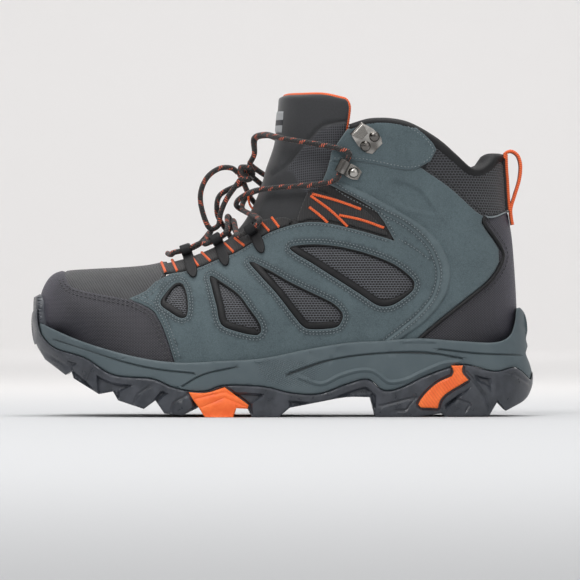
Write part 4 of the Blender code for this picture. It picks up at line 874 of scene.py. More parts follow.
def suede_look():
    """Blue-grey nubuck: a fine short nap with brushed patches, paler on its cut edges, with a painted
    highlight over the raised band and painted shade along the stitch rows.
    """
    g = Graph("nubuck_blue_grey", rough=0.95, sheen=0.12)
    place = g.place()
    patches = g.noise(place, 0.06, 4.0, 0.6)
    nap = g.noise(place, 1.6, 4.0, 0.7)
    grain = g.noise(place, 0.45, 3.0, 0.6)
    base = g.mix(g.ramp(patches, 0.35, 0.68), (0.060, 0.085, 0.095), (0.073, 0.103, 0.114))
    base = g.mix(g.ramp(nap, 0.35, 0.7), base, g.mix(0.36, base, (0.165, 0.21, 0.225)))
    base = g.mix(g.ramp(grain, 0.5, 0.75, 0.0, 0.32), base, (0.040, 0.058, 0.066))
    # painted highlight: paler nubuck over the raised band and along its inner edge
    base = g.mix(g.times(g.attribute("painted_light").outputs["Fac"], 0.35), base, (0.125, 0.160, 0.172))
    edge = edge_value(g)
    base = g.mix(g.ramp(edge, 0.0, 0.6, 0.5, 0.0), base, (0.17, 0.21, 0.22))
    # painted shade: darker nubuck along the stitch rows, standing for the needle holes between the stitches
    base = g.mix(g.times(g.attribute("mark").outputs["Fac"], 0.55), base, (0.022, 0.030, 0.034))
    height = g.add(g.times(nap, 0.7), g.times(grain, 0.6))
    return g.finish(base, height, 0.55, 0.35)


def ballistic_look():
    """Black ballistic nylon in a coarse plain weave with a faint purple sheen."""
    g = Graph("ballistic_nylon", rough=0.55, sheen=0.15)
    g.shader.inputs["Sheen Tint"].default_value = (0.75, 0.70, 0.95, 1)
    height, parity = plain_weave(g, 0.95, 0.8)
    patches = g.noise(g.place(), 0.05, 3.0)
    warp = g.mix(parity, (0.014, 0.0135, 0.016), (0.052, 0.050, 0.060))
    base = g.mix(g.ramp(height, 0.1, 0.75, 0.75, 0.0), warp, (0.006, 0.006, 0.007))
    base = g.mix(g.ramp(patches, 0.4, 0.7, 0.0, 0.3), base, (0.045, 0.042, 0.05))
    fibre = g.noise(g.place(), 3.0, 2.0)
    return g.finish(base, g.add(height, g.times(fibre, 0.25)), 0.7, 0.4)


def ribbed_look():
    """Black textile with fine upright ribs, for the vamp."""
    g = Graph("ribbed_textile", rough=0.75, sheen=0.25)
    u, v = g.weave_axes()
    slant = g.add(u, g.times(v, 0.5))
    rib = g.math("ABSOLUTE", g.math("SINE", g.times(slant, math.pi / 1.7)))
    cross = g.math("ABSOLUTE", g.math("SINE", g.times(v, math.pi / 0.55)))
    height = g.add(rib, g.times(cross, 0.35))
    base = g.mix(g.ramp(rib, 0.15, 0.7), (0.004, 0.004, 0.0045), (0.040, 0.040, 0.043))
    base = g.mix(g.ramp(g.noise(g.place(), 0.08, 3.0), 0.4, 0.7, 0.0, 0.3), base, (0.05, 0.05, 0.055))
    return g.finish(base, height, 0.7, 0.4)


def spacer_mesh_look(name="spacer_mesh", light=(0.085, 0.089, 0.102), dark=(0.002, 0.002, 0.003), pitch=1.85):
    """An open knitted mesh: staggered round holes between pale threads."""
    g = Graph(name, rough=0.7, sheen=0.2)
    u, v = g.weave_axes()
    row = g.math("FLOOR", g.times(v, 1 / (pitch * 0.8)))
    stagger = g.times(g.math("MODULO", g.math("ABSOLUTE", row), 2.0), 0.5)
    fu = g.less(g.math("FRACT", g.add(g.times(u, 1 / pitch), stagger)), 0.5)
    fv = g.less(g.math("FRACT", g.times(v, 1 / (pitch * 0.8))), 0.5)
    radius = g.math("SQRT", g.add(g.times(g.times(fu, fu), 0.8), g.times(fv, fv)))
    solid = g.ramp(radius, 0.34, 0.47)
    thread = g.noise(g.place(), 2.2, 2.0)
    pale = g.mix(g.ramp(thread, 0.3, 0.7), light, tuple(1.5 * c for c in light))
    base = g.mix(solid, dark, pale)
    return g.finish(base, g.add(solid, g.times(thread, 0.2)), 0.9, 0.6)


def fine_mesh_look():
    """A finer, darker knitted mesh for the collar."""
    return spacer_mesh_look("collar_knit", (0.042, 0.044, 0.052), (0.003, 0.003, 0.004), 2.0)


def webbing_look(name, light, dark, pitch=1.1):
    """Ribbed webbing whose ribs run across it."""
    g = Graph(name, rough=0.75, sheen=0.2)
    u, v = g.weave_axes()
    rib = g.math("ABSOLUTE", g.math("SINE", g.times(u, math.pi / pitch)))
    cross = g.math("ABSOLUTE", g.math("SINE", g.add(g.times(v, math.pi / 0.9), g.times(rib, 0.8))))
    base = g.mix(g.ramp(rib, 0.1, 0.75), dark, light)
    return g.finish(base, g.add(rib, g.times(cross, 0.3)), 0.7, 0.4)


def knit_look(name, colour, scale=1.0, rough=0.9):
    """A close brushed cloth."""
    g = Graph(name, rough=rough, sheen=0.3)
    place = g.place()
    fuzz = g.noise(place, 1.4 * scale, 4.0, 0.7)
    patch = g.noise(place, 0.09 * scale, 3.0)
    low, high = tuple(0.6 * c for c in colour), tuple(min(1.0, 1.5 * c) for c in colour)
    base = g.mix(g.ramp(fuzz, 0.3, 0.7), low, high)
    base = g.mix(g.ramp(patch, 0.35, 0.7, 0.0, 0.35), base, high)
    return g.finish(base, fuzz, 0.5, 0.3)


def smooth_synthetic_look():
    """Smooth black synthetic leather with a slight grain, for loops and borders."""
    g = Graph("smooth_synthetic", rough=0.55)
    g.shader.inputs["Specular IOR Level"].default_value = 0.32
    place = g.place()
    grain = g.noise(place, 1.2, 4.0, 0.6)
    patch = g.noise(place, 0.07, 3.0)
    base = g.mix(g.ramp(patch, 0.3, 0.7), (0.005, 0.005, 0.006), (0.011, 0.011, 0.012))
    rough = g.ramp(grain, 0.3, 0.7, 0.5, 0.68)
    return g.finish(base, grain, 0.25, 0.25, rough)


def midsole_look():
    """Moulded grey-blue foam with fine pores, painted shade in the bottoms of its grooves, and a pressed
    field of dots where marked.
    """
    g = Graph("midsole_foam", rough=0.62)
    place = g.place()
    pores = g.noise(place, 1.5, 3.0, 0.6)
    patch = g.noise(place, 0.05, 3.0)
    u, v = g.weave_axes()
    slant_a = g.math("SINE", g.times(g.add(u, g.times(v, 0.6)), math.pi / 0.95))
    slant_b = g.math("SINE", g.times(g.less(v, g.times(u, 0.25)), math.pi / 0.95))
    dots = g.times(g.times(slant_a, slant_b), g.attribute("mark").outputs["Fac"])
    base = g.mix(g.ramp(patch, 0.35, 0.7), (0.070, 0.096, 0.108), (0.083, 0.111, 0.123))
    base = g.mix(g.ramp(edge_value(g), 0.0, 1.2, 0.4, 0.0), base, (0.12, 0.15, 0.16))
    # painted shade in the bottoms of the grooves
    base = g.mix(g.times(g.attribute("painted_light").outputs["Fac"], 0.8), base, (0.012, 0.016, 0.018))
    height = g.add(g.times(pores, 0.25), g.times(dots, 1.0))
    return g.finish(base, height, 0.5, 0.5)


def rubber_look(name, low, high, rough=0.42, ribs=0.0):
    """Moulded rubber: satin, with faint flow marks, edges paler than the face and, where asked for, slanting
    ribs with painted shade in their troughs.
    """
    g = Graph(name, rough=rough)
    place = g.place()
    flow = g.noise(place, 0.12, 4.0, 0.6)
    fine = g.noise(place, 1.8, 2.0)
    base = g.mix(g.ramp(flow, 0.35, 0.7), low, high)
    base = g.mix(g.ramp(edge_value(g), 0.0, 0.9, 0.2, 0.0), base,
                 tuple(min(1.0, 1.7 * c + 0.01) for c in high))
    height = g.add(g.times(fine, 0.3), flow)
    if ribs:
        u, v = g.weave_axes()
        rib = g.math("SINE", g.times(g.add(g.times(u, 0.8), g.times(v, 0.6)), 2 * math.pi / 1.7))
        # painted shade in the troughs of the ribs
        base = g.mix(g.ramp(rib, -1.0, -0.2, ribs, 0.0), base, tuple(0.5 * c for c in low))
        height = g.add(height, rib)
    return g.finish(base, height, 0.22, 0.4, g.ramp(flow, 0.3, 0.7, rough - 0.08, rough + 0.12))


def nickel_look():
    """Antique nickel plate with darker hollows and fine scratches."""
    g = Graph("antique_nickel", rough=0.28, metallic=1.0)
    place = g.place()
    cloud = g.noise(place, 0.10, 1.0, 0.4)
    fine = g.noise(place, 1.1, 2.0)
    base = g.mix(g.ramp(cloud, 0.42, 0.58), (0.16, 0.15, 0.14), (0.46, 0.44, 0.41))
    return g.finish(base, fine, 0.02, 0.1, g.ramp(fine, 0.2, 0.8, 0.16, 0.26))


def lace_look():
    """Black round braid with pairs of short orange flecks."""
    g = Graph("lace_braid", rough=0.72, sheen=0.2)
    length, turn = g.weave_axes()
    plait_a = g.math("SINE", g.add(g.times(length, 2 * math.pi / 1.9), g.times(turn, 4.0)))
    plait_b = g.math("SINE", g.less(g.times(length, 2 * math.pi / 1.9), g.times(turn, 4.0)))
    height = g.math("MAXIMUM", plait_a, plait_b)
    beat = g.math("FRACT", g.add(g.times(length, 1 / 6.6), g.times(turn, 0.5 / math.pi)))
    near = g.ramp(g.math("ABSOLUTE", g.less(beat, 0.5)), 0.19, 0.23, 1.0, 0.0)
    dash = g.ramp(g.math("SINE", g.add(g.times(length, 2 * math.pi / 1.25), g.times(turn, 1.0))), -0.05, 0.3)
    facing = g.ramp(g.math("SINE", g.add(g.times(turn, 2.0), g.times(length, 0.5))), -0.2, 0.1)
    fleck = g.times(g.times(near, dash), facing)
    black = g.mix(g.ramp(height, 0.0, 0.9), (0.006, 0.005, 0.005), (0.024, 0.021, 0.020))
    base = g.mix(fleck, black, (0.60, 0.115, 0.055))
    return g.finish(base, height, 0.6, 0.35)


def piping_look():
    """Bright orange corded piping."""
    g = Graph("orange_piping", rough=0.6, sheen=0.2)
    length, turn = g.weave_axes()
    ply = g.math("SINE", g.add(g.times(length, 2 * math.pi / 1.3), turn))
    base = g.mix(g.ramp(ply, -0.6, 0.8), (0.62, 0.075, 0.012), (0.92, 0.155, 0.025))
    return g.finish(base, ply, 0.4, 0.3)


def thread_look(name, colour):
    g = Graph(name, rough=0.6, sheen=0.2)
    place = g.place()
    ply = g.noise(place, 2.5, 2.0)
    base = g.mix(g.ramp(ply, 0.3, 0.7), tuple(0.7 * c for c in colour), colour)
    return g.finish(base, ply, 0.4, 0.2)


def tongue_look():
    """Smooth charcoal cloth, with an open knit where marked."""
    g = Graph("tongue_face", rough=0.62, sheen=0.25)
    u, v = g.weave_axes()
    pitch = 1.5
    fu = g.less(g.math("FRACT", g.times(u, 1 / pitch)), 0.5)
    fv = g.less(g.math("FRACT", g.times(v, 1 / pitch)), 0.5)
    radius = g.math("SQRT", g.add(g.times(fu, fu), g.times(fv, fv)))
    holes = g.times(g.ramp(radius, 0.3, 0.44, 1.0, 0.0), g.attribute("mark").outputs["Fac"])
    fine = g.noise(g.place(), 1.8, 3.0)
    base = g.mix(g.ramp(fine, 0.3, 0.7), (0.015, 0.0155, 0.0175), (0.024, 0.025, 0.028))
    base = g.mix(g.times(g.attribute("mark").outputs["Fac"], 0.8), base, (0.070, 0.072, 0.085))
    base = g.mix(holes, base, (0.003, 0.003, 0.004))
    return g.finish(base, g.less(g.times(fine, 0.3), holes), 0.6, 0.4)


def label_look():
    """A pale woven label with a plain dark bar across its middle."""
    g = Graph("woven_label", rough=0.6)
    u, v = g.weave_axes()
    rib = g.math("ABSOLUTE", g.math("SINE", g.times(v, math.pi / 0.6)))
    split = g.tree.nodes.new("ShaderNodeSeparateXYZ")
    g.tree.links.new(g.place(), split.inputs[0])
    bar = g.ramp(g.math("ABSOLUTE", g.less(split.outputs[2], 181.0)), 1.6, 1.8, 1.0, 0.0)
    base = g.mix(bar, (0.36, 0.37, 0.38), (0.04, 0.04, 0.045))
    return g.finish(base, rib, 0.3, 0.2)


def fibre_look(name, colour):
    g = Graph(name, rough=0.85)
    grain = g.noise(g.place(), 0.8, 4.0, 0.7)
    return g.finish(g.mix(grain, tuple(0.7 * c for c in colour), colour), grain, 0.3, 0.3)


BLACK_WEB = webbing_look("black_webbing", (0.026, 0.025, 0.026), (0.005, 0.005, 0.005))
LOOKS = {
    "suede": suede_look(),
    "ballistic": ballistic_look(),
    "ribbed": ribbed_look(),
    "spacer": spacer_mesh_look(),
    "collar": fine_mesh_look(),
    "webbing": BLACK_WEB,
    "orange_webbing": webbing_look("orange_webbing_cloth", (0.85, 0.12, 0.02), (0.45, 0.05, 0.01)),
    "lining": knit_look("lining_cloth", (0.020, 0.020, 0.022)),
    "foam": knit_look("footbed_cloth", (0.055, 0.057, 0.062), 0.8),
    "smooth": smooth_synthetic_look(),
    "tongue": tongue_look(),
    "midsole": midsole_look(),
    "rubber": rubber_look("black_rubber", (0.032, 0.036, 0.044), (0.053, 0.058, 0.070), 0.34),
    "orange_rubber": rubber_look("orange_rubber_mould", (0.90, 0.135, 0.020), (0.98, 0.185, 0.035), 0.5),
    "orange_ribs": rubber_look("orange_rubber_ribs", (0.86, 0.13, 0.020), (0.96, 0.18, 0.035), 0.5,
                               ribs=0.25),
    "nickel": nickel_look(),
    "lace": lace_look(),
    "piping": piping_look(),
    "thread": thread_look("grey_thread", (0.21, 0.245, 0.26)),
    "dark_thread": thread_look("black_thread", (0.022, 0.022, 0.025)),
    "label": label_look(),
    "board": fibre_look("board_fibre", (0.35, 0.27, 0.18)),
    "stiffener": fibre_look("stiffener_sheet", (0.40, 0.40, 0.38)),
    "plastic": rubber_look("aglet_plastic", (0.012, 0.012, 0.012), (0.02, 0.02, 0.02), 0.3),
}


# ---------------------------------------------------------------- stage


def sky(world):
    """A soft grey surround, bright overhead and darker low down, so that metal and rubber have shape."""
    tree = world.node_tree
    coord = tree.nodes.new("ShaderNodeTexCoord")
    split = tree.nodes.new("ShaderNodeSeparateXYZ")
    ramp = tree.nodes.new("ShaderNodeMapRange")
    ramp.inputs["From Min"].default_value = -0.35
    ramp.inputs["From Max"].default_value = 0.9
    ramp.inputs["To Min"].default_value = 0.12
    ramp.inputs["To Max"].default_value = 0.72
    tree.links.new(coord.outputs["Generated"], split.inputs[0])
    tree.links.new(split.outputs[2], ramp.inputs["Value"])
    tree.links.new(ramp.outputs[0], tree.nodes["Background"].inputs["Strength"])
    tree.nodes["Background"].inputs["Color"].default_value = (1.0, 1.0, 1.0, 1)


def camera_and_stage():
    """A level camera on the outer side, a pale seamless floor and soft lights. The floor has painted light:
    it is darker in front of and under the boot and paler towards the back, and it glows more towards the
    back, up the sweep and far to the sides.
    """
    data = bpy.data.cameras.new("camera")
    distance_to_boot = 4.5
    data.sensor_width = 36.0
    data.lens = 36.0 * distance_to_boot / 0.3588
    data.clip_end = 50.0
    camera = bpy.data.objects.new("camera", data)
    camera.location = (0.0049, -distance_to_boot, 0.0778)
    camera.rotation_euler = (math.pi / 2, 0, 0)
    bpy.context.scene.collection.objects.link(camera)
    bpy.context.scene.camera = camera

    reach, side_reach, back, bend = 7.0, 28.0, 5.0, 0.9
    profile = [(-reach, 0.0), (back, 0.0)]
    profile += [(back + bend * math.sin(t), bend * (1 - math.cos(t))) for t in np.linspace(0.05, math.pi / 2,
                                                                                           16)]
    profile.append((back + bend, 3.6))
    points = [(x, y, z) for y, z in profile for x in (-side_reach, side_reach)]
    faces = [(2 * i, 2 * i + 1, 2 * i + 3, 2 * i + 2) for i in range(len(profile) - 1)]
    mesh = bpy.data.meshes.new("floor")
    mesh.from_pydata(points, [], faces)
    mesh.shade_smooth()
    g = Graph("pale_glowing_floor", rough=0.9)
    split = g.tree.nodes.new("ShaderNodeSeparateXYZ")
    g.tree.links.new(g.place(), split.inputs[0])
    # painted shade: the floor is darker in front of and under the boot, paler towards the back and up the
    # sweep
    material = g.finish(g.mix(g.ramp(split.outputs[1], 100.0, 1500.0), (0.575, 0.58, 0.59),
                              (0.80, 0.785, 0.78)))
    # painted light: the floor and sweep glow, more towards the back, up the sweep and far to the sides
    g.shader.inputs["Emission Color"].default_value = (1.0, 0.985, 0.97, 1)
    glow = g.add(g.ramp(split.outputs[1], 500.0, 1800.0, 0.0, 0.02),
                 g.ramp(split.outputs[2], 0.0, 420.0, 0.0, 0.03))
    side_glow = g.ramp(g.math("ABSOLUTE", split.outputs[0]), 900.0, 5000.0, 0.0, 0.32)
    g.tree.links.new(g.add(glow, side_glow), g.shader.inputs["Emission Strength"])
    mesh.materials.append(material)
    floor = bpy.data.objects.new("floor", mesh)
    bpy.context.scene.collection.objects.link(floor)

    world = bpy.data.worlds.new("studio")
    world.use_nodes = True
    sky(world)
    bpy.context.scene.world = world
    for name, place, size, power, aim in (
        ("key", (-0.7, -1.5, 1.7), 1.1, 21.0, (0, 0, 0.08)),
        ("fill", (1.3, -1.7, 0.9), 1.5, 6.0, (0, 0, 0.08)),
        ("top", (0.1, 0.2, 1.9), 1.4, 15.0, (0, 0, 0.1)),
        ("wash", (0.0, 1.1, 2.2), 2.4, 13.0, (0, 2.4, 0.9)),
        ("wall", (0.0, 4.2, 2.4), 2.4, 22.0, (0, 5.8, 0.6)),
        ("near", (0.0, -2.6, 2.6), 2.4, 9.0, (0, -2.6, 0)),
    ):
        light = bpy.data.lights.new(name, "AREA")
        light.size = size
        light.energy = power
        lamp = bpy.data.objects.new(name, light)
        lamp.location = place
        direction = np.subtract(aim, place)
        direction = direction / np.linalg.norm(direction)
        yaw = math.atan2(direction[1], direction[0])
        lamp.rotation_euler = (math.acos(-direction[2]), 0, yaw - math.pi / 2)
        bpy.context.scene.collection.objects.link(lamp)
    bpy.context.scene.view_settings.view_transform = "Standard"


camera_and_stage()


# ---------------------------------------------------------------- outlines


def border(points, by=0.0, step=6.0):
    return shifted(curve(points, step), by)


def joined(*lines):
    """One closed outline from stretches laid end to end, without doubled points."""
    points = np.vstack(lines)
    keep = np.linalg.norm(points - np.roll(points, 1, axis=0), axis=1) > 0.25
    return points[keep]


def capped(line, start=None, end=None):
    """A border whose ends are moved onto a silhouette or the floor line."""
    line = line.copy()
    for target, index in ((start, 0), (end, -1)):
        if target is not None:
            stretch = part_of(target, line[index], line[index])
            line[index] = stretch[0]
    return line


def raised_floor():
    """The lower edge of the upper's panels: just over the floor, and higher round the toe and heel."""
    lift = CLEAR + 0.1 + 3.0 * smoothstep(np.abs(FLOOR_LINE[:, 0]), 100, 130)
    line = FLOOR_LINE + np.stack([0 * lift, lift], axis=1)
    return capped(line, FRONT, BACK)


TUCK = raised_floor()


def split(line, point):
    """A polyline cut in two at the foot of a point."""
    return part_of(line, line[0], point), part_of(line, point, line[-1])


def toe_cap_outline():
    edge = capped(border(TOE_CAP_EDGE, -GAP / 2), FRONT, TUCK)
    tip = TUCK[0]
    return joined(edge, part_of(TUCK, edge[-1], tip), part_of(FRONT, tip, edge[0]))


def vamp_outline(tuck=3.0):
    """The vamp, running on by the tuck under the toe cap and the quarter."""
    edge = border(TOE_CAP_EDGE, -tuck)
    upper_edge, _ = split(edge, VAMP_TIP)
    upper_edge = capped(upper_edge, FRONT)
    rear = border([VAMP_TIP, (-83.6, 78), (-78, 83.6), (-75.2, 88.5), (-73, 93.2)], -tuck)
    rear = capped(rear, None, FRONT)
    return joined(upper_edge, rear, part_of(FRONT, rear[-1], upper_edge[0]))


def quarter_outline():
    _, toe_edge = split(border(TOE_CAP_EDGE, GAP / 2), VAMP_TIP)
    toe_edge = capped(toe_edge, None, TUCK)
    counter_edge = capped(border(COUNTER_EDGE, -GAP / 2), None, TUCK)[::-1]
    collar_edge = split(border(COLLAR_LOWER, -GAP / 2), COLLAR_LOWER[2])[0][::-1]
    patch_edge = border(PATCH_LOWER, -GAP / 2)[::-1]
    front_edge = border(ANKLE_FRONT)[::-1]
    gore_edge = border(GORE_UPPER_EDGE)[::-1]
    throat_edge = border(THROAT_EDGE, -GAP / 2)[::-1]
    vamp_edge = border([VAMP_TIP, (-83.6, 78), (-78, 83.6), THROAT_CORNER], -GAP / 2)[::-1]
    floor = part_of(TUCK, toe_edge[-1], counter_edge[0])
    return joined(
        np.add([VAMP_TIP], [0.2, 0.1]), toe_edge[1:], floor, counter_edge[:-1], collar_edge, patch_edge[1:],
        front_edge[1:-1], gore_edge[:-1],
        throat_edge[:-1], vamp_edge[1:-1],
    )  # fmt: skip


PANEL_TOP = curve(COLLAR_TOP, 3.0) - [0, 2.3]


def patch_outline():
    lower = border(PATCH_LOWER, -1.2)
    rear = border(PATCH_REAR, GAP / 2)[::-1]
    top = part_of(PANEL_TOP, (75.8, 178.8), (39.9, 176.4))
    front = border(PATCH_FRONT)[::-1][2:]
    return joined(lower[:-1], rear[1:-1], top, front[1:-1])


def collar_outline():
    lower = capped(border(COLLAR_LOWER, -3.0), None, BACK)
    top = capped(part_of(PANEL_TOP, (77, 178.6), (137.6, 160)), None, BACK)[::-1]
    rear = border(PATCH_REAR, -3.0)
    return joined(lower[1:], part_of(BACK, lower[-1], top[0]), top[:-1], rear[1:-1])


def counter_outline():
    edge = capped(border(COUNTER_EDGE, GAP / 2), None, TUCK)
    top = capped(split(border(COLLAR_LOWER, -GAP / 2), COLLAR_LOWER[2])[1], None, BACK)
    floor = part_of(TUCK, edge[-1], TUCK[-1])
    return joined(top[::-1][:-1], edge[1:], floor, part_of(BACK, TUCK[-1], top[-1]))


THROAT_LINING = [
    (-78, 84), (-66, 84.5), (-50, 87), (-32, 94), (-12, 104), (10, 114.5), (26, 132), (36, 150), (44, 166),
    (48, 178.8),
]  # fmt: skip


HEEL_SEAM = [(98, 171), (98, 100), (98, 44)]


VAMP_SEAM = [(-52, 84), (-50, 60), (-48, 26)]


def lining_depth(xy):
    """Depth of the lining's outer face: the collar foam pushes it in round the ankle."""
    return LINING_TOP + COLLAR_PADDING * smoothstep(xy[:, 0], 62, 80) * smoothstep(xy[:, 1], 96, 126)


def lining_outlines():
    throat = curve(THROAT_LINING, 6.0)
    collar = curve(COLLAR_TOP, 6.0) - [0, 0.6]
    vamp_seam = curve(VAMP_SEAM)
    heel_seam = curve(HEEL_SEAM)
    vamp_throat = part_of(throat, throat[0], (-52, 86))
    ridge_end = (-74, 95.5)
    front_edge = capped(np.array([throat[0], (-76.2, 89), ridge_end]), None, FRONT)
    vamp_side = capped(shifted(vamp_seam, -GAP / 2), None, TUCK)
    vamp_side[0] = vamp_throat[-1]
    vamp = joined(
        vamp_throat, vamp_side[1:], part_of(TUCK, vamp_side[-1], TUCK[0]),
        part_of(FRONT, TUCK[0], front_edge[-1]), front_edge[::-1][1:-1],
    )  # fmt: skip
    quarter_front = capped(shifted(vamp_seam, GAP / 2), None, TUCK)
    quarter_throat = part_of(throat, (-51, 86.4), throat[-1])
    quarter_front[0] = quarter_throat[0]
    quarter_rear = capped(shifted(heel_seam, GAP / 2 * -1), collar, TUCK)
    quarter = joined(
        quarter_front, part_of(TUCK, quarter_front[-1], quarter_rear[-1]), quarter_rear[::-1],
        part_of(collar, quarter_rear[0], throat[-1]), quarter_throat[::-1][:-1],
    )  # fmt: skip
    heel_front = capped(shifted(heel_seam, GAP / 2), collar, TUCK)
    heel_top = capped(part_of(collar, heel_front[0], (137.6, 162)), None, BACK)
    heel = joined(
        heel_front, part_of(TUCK, heel_front[-1], TUCK[-1]), part_of(BACK, TUCK[-1], heel_top[-1]),
        heel_top[::-1][1:-1],
    )  # fmt: skip
    return vamp, quarter, heel


def band(line, low, high, start=None, end=None):
    """The outline between a line lowered by one amount and raised by another."""
    start = line[0] if start is None else start
    end = line[-1] if end is None else end
    stretch = part_of(line, start, end)
    return joined(stretch + [0, low], (stretch + [0, high])[::-1])


FOREFOOT_INSERT = [
    (-57, 15.4, 1), (-46.3, 15.0), (-35, 18.4, 1), (-20.4, 7.5, 1), (-21, 5.2, 1), (-28.1, 5.6, 1),
    (-29.8, 0, 1), (-47.1, 0, 1), (-50.6, 5.6, 1), (-54.5, 11, 1), (-57, 15.4, 1),
]  # fmt: skip


HEEL_INSERT_FACE = [
    (103.6, 31.4, 1), (110.8, 31.6, 1), (110.4, 27.4), (114.2, 22.6, 1), (108.4, 19.2), (101.0, 14.6),
    (96.9, 10.3),
    (95.4, 5.4, 1), (85.0, 5.8, 1), (83.4, 7.6), (87.5, 13.9), (95.5, 21.0), (103.9, 24.9, 1), (105.2, 27.8),
    (103.6, 31.4, 1),
]  # fmt: skip


PUFF_EDGE = [(-137.5, 89), (-133.5, 80), (-121, 74), (-100, 66), (-88, 55), (-84, 40), (-83, 28)]


STIFFENER_EDGE = [(140.5, 115), (128, 112), (112, 102), (98, 80), (92, 60), (90, 41)]


UNDERLAY = [
    (-80, 66, 1), (-72, 85, 1), (-50, 90.5), (-30, 98), (-8, 109), (14, 115.5), (40, 112), (64, 104.5, 1),
    (88, 96, 1), (86, 60), (76, 46, 1), (0, 36), (-62, 34, 1), (-70, 50), (-80, 66),
]  # fmt: skip


GORE = [
    (-70, 90, 1), (-50, 94), (-30, 101.5), (-8, 112.5), (14, 119), (40, 115.5), (66, 107.8, 1), (73, 113, 1),
    (64, 127), (48, 138), (35, 150, 1), (40, 160), (47, 177, 1), (42.5, 177.5, 1), (33, 164), (27, 152),
    (20, 136), (8, 123), (-12, 115), (-34, 104.5), (-54, 97), (-70, 92.6, 1),
]  # fmt: skip


FOAM_OUTLINE = [(70, 177.5), (66, 140), (84, 124), (100, 115), (118, 126), (128, 129.5), (139.4, 130)]


WEBBING_FAN = [
    (15, 137), (19.5, 139.4), (34, 134), (50, 127.4), (60, 118), (65, 111.4), (52, 114.8), (40, 118.2),
    (28, 120.8), (16, 121.6), (9, 120.6),
]  # fmt: skip


THROAT_WEBBING_INNER = [
    (-73, 94.2), (-62, 96.8), (-48, 101.6), (-36, 107.8), (-24, 116), (-12, 121), (2, 122.6), (5.5, 121),
]  # fmt: skip


TONGUE_REAR = [
    (-71, 96), (-66, 89.8), (-50, 90.5), (-30, 97.5), (-8, 108), (12, 120), (24, 136), (33, 154), (38.5, 172),
    (41.3, 190), (39, 195, 1), (23.2, 198), (4.7, 198.3), (-3, 196.6), (-7.2, 194.5),
]  # fmt: skip


def ridge_point(z, lift):
    """A point in front of the tongue on the boot's middle, at a height, lifted off its face."""
    upper_front = FRONT[FRONT[:, 1] > 96]
    x = np.interp(z, upper_front[:, 1], upper_front[:, 0])
    place, normal = last_surface(LATERAL, [(x, z)], TONGUE_TOP - lift)
    return place[0], normal[0]


def side_frame(side, place, aim, lift=0.0):
    """Place, aim, across and outward directions on the side of the upper, as unit vectors."""
    (base,), (normal,) = last_surface(side, [place], -lift)
    (ahead,), _ = last_surface(side, [np.add(place, np.multiply(aim, 0.5))], -lift)
    forward = ahead - base
    forward -= normal * (forward @ normal)
    forward /= np.linalg.norm(forward)
    return base, forward, np.cross(normal, forward), normal


SHEET = 0.9  # thickness of the pressed metal


EYELET_BORE = 2.9


EYELET_REACH = 7.5  # from the rivet to the middle of the rolled tube


RIVET_RADIUS = 3.2


LOOP_BORE = 2.5


LOOP_LIFT = 0.9


LOOP_THICK = 1.1


CROSSING_LIFT = 4.2  # where the lace crosses itself, one run passes this much higher


def loop_centre(side, number):
    """The middle of a lace loop's ring, the way out of the boot and the way through the ring."""
    base, _, across, normal = side_frame(side, *LACE_LOOPS[number], LOOP_LIFT + LOOP_THICK + LOOP_BORE)
    return base, normal, across * np.sign(across[0])


def over_tongue(z, y, lift):
    """A point over the tongue's front, some way to the side of the middle and lifted off it."""
    upper_front = FRONT[FRONT[:, 1] > 90]
    x = np.interp(z, upper_front[:, 1], upper_front[:, 0])
    tangent = np.array([np.interp(z + 1, upper_front[:, 1], upper_front[:, 0]) - x, 1.0])
    tangent /= np.linalg.norm(tangent)
    inward = np.array([tangent[1], -tangent[0]])
    radius = front_rounding(np.array([x]))[0]
    width = half_width(np.array([x]), np.array([z]))[0]
    t = 1 - math.sqrt(max(0.0, 1 - (y / width) ** 2))
    spot = np.array([x, z]) + inward * t * radius
    side = LATERAL if y < 0 else MEDIAL
    place, normal = last_surface(side, [spot], -lift)
    return place[0]


def through_loop(side, number):
    """Three points that lead straight through a lace loop's ring."""
    place, normal, along_edge = loop_centre(side, number)
    return [place + along_edge * reach + normal * (abs(reach) / 9) for reach in (-7.5, 0, 7.5)]


def lower_run(side, lift):
    """From the middle of the first crossbar up through this side's and the other side's loops."""
    return [
        *through_loop(side, 0), over_tongue(108.2, 0, 2.6 + lift),
        *through_loop(-side, 1), over_tongue(118.5, 0, 3.4 + lift), *through_loop(side, 2),
    ]  # fmt: skip


def upper_run(side, lift):
    """From this side's top loop across to the other side's eyelet, and back over the tongue to the knot."""
    base, forward, across, normal = side_frame(-side, EYELET_RIVET, EYELET_AIM, CLEAR)
    centre = base + forward * EYELET_REACH + normal * (SHEET + EYELET_BORE)
    up = across if across[2] > 0 else -across
    return [
        over_tongue(127, 0, 3.2 + lift), over_tongue(138, -side * 15, 6.0),
        centre - up * 9 + normal * 1.4, centre - up * 3.5, centre + up * 3.5, centre + up * 9 + normal * 1.2,
        over_tongue(172, -side * 26, 5.0), over_tongue(173.5, -side * 12, 3.0 + lift * 0.4),
        over_tongue(170.5, -side * 4.5, 7.5 + lift * 0.2), over_tongue(161, -side * 4.0, 7.0),
        knot_middle() + (1.2, -side * 3.4, 6.5),
    ]  # fmt: skip


TONGUE_LINING_THICK = 1.0


KNOT_HEIGHT, KNOT_LIFT = 147.5, 8.0


BOW_FRONT = [
    (-31, -9, 153), (-38, -11, 153), (-46, -12.5, 147.5), (-50.3, -12.5, 137), (-48.5, -11, 124),
    (-44, -10, 115.5), (-39.5, -9, 117.5), (-38, -9.5, 125), (-34.5, -9, 133.5),
]  # fmt: skip


BOW_FRONT_ENDS = (-6.8, -2.4, 1.0), (-5.2, -5.4, -4.4)


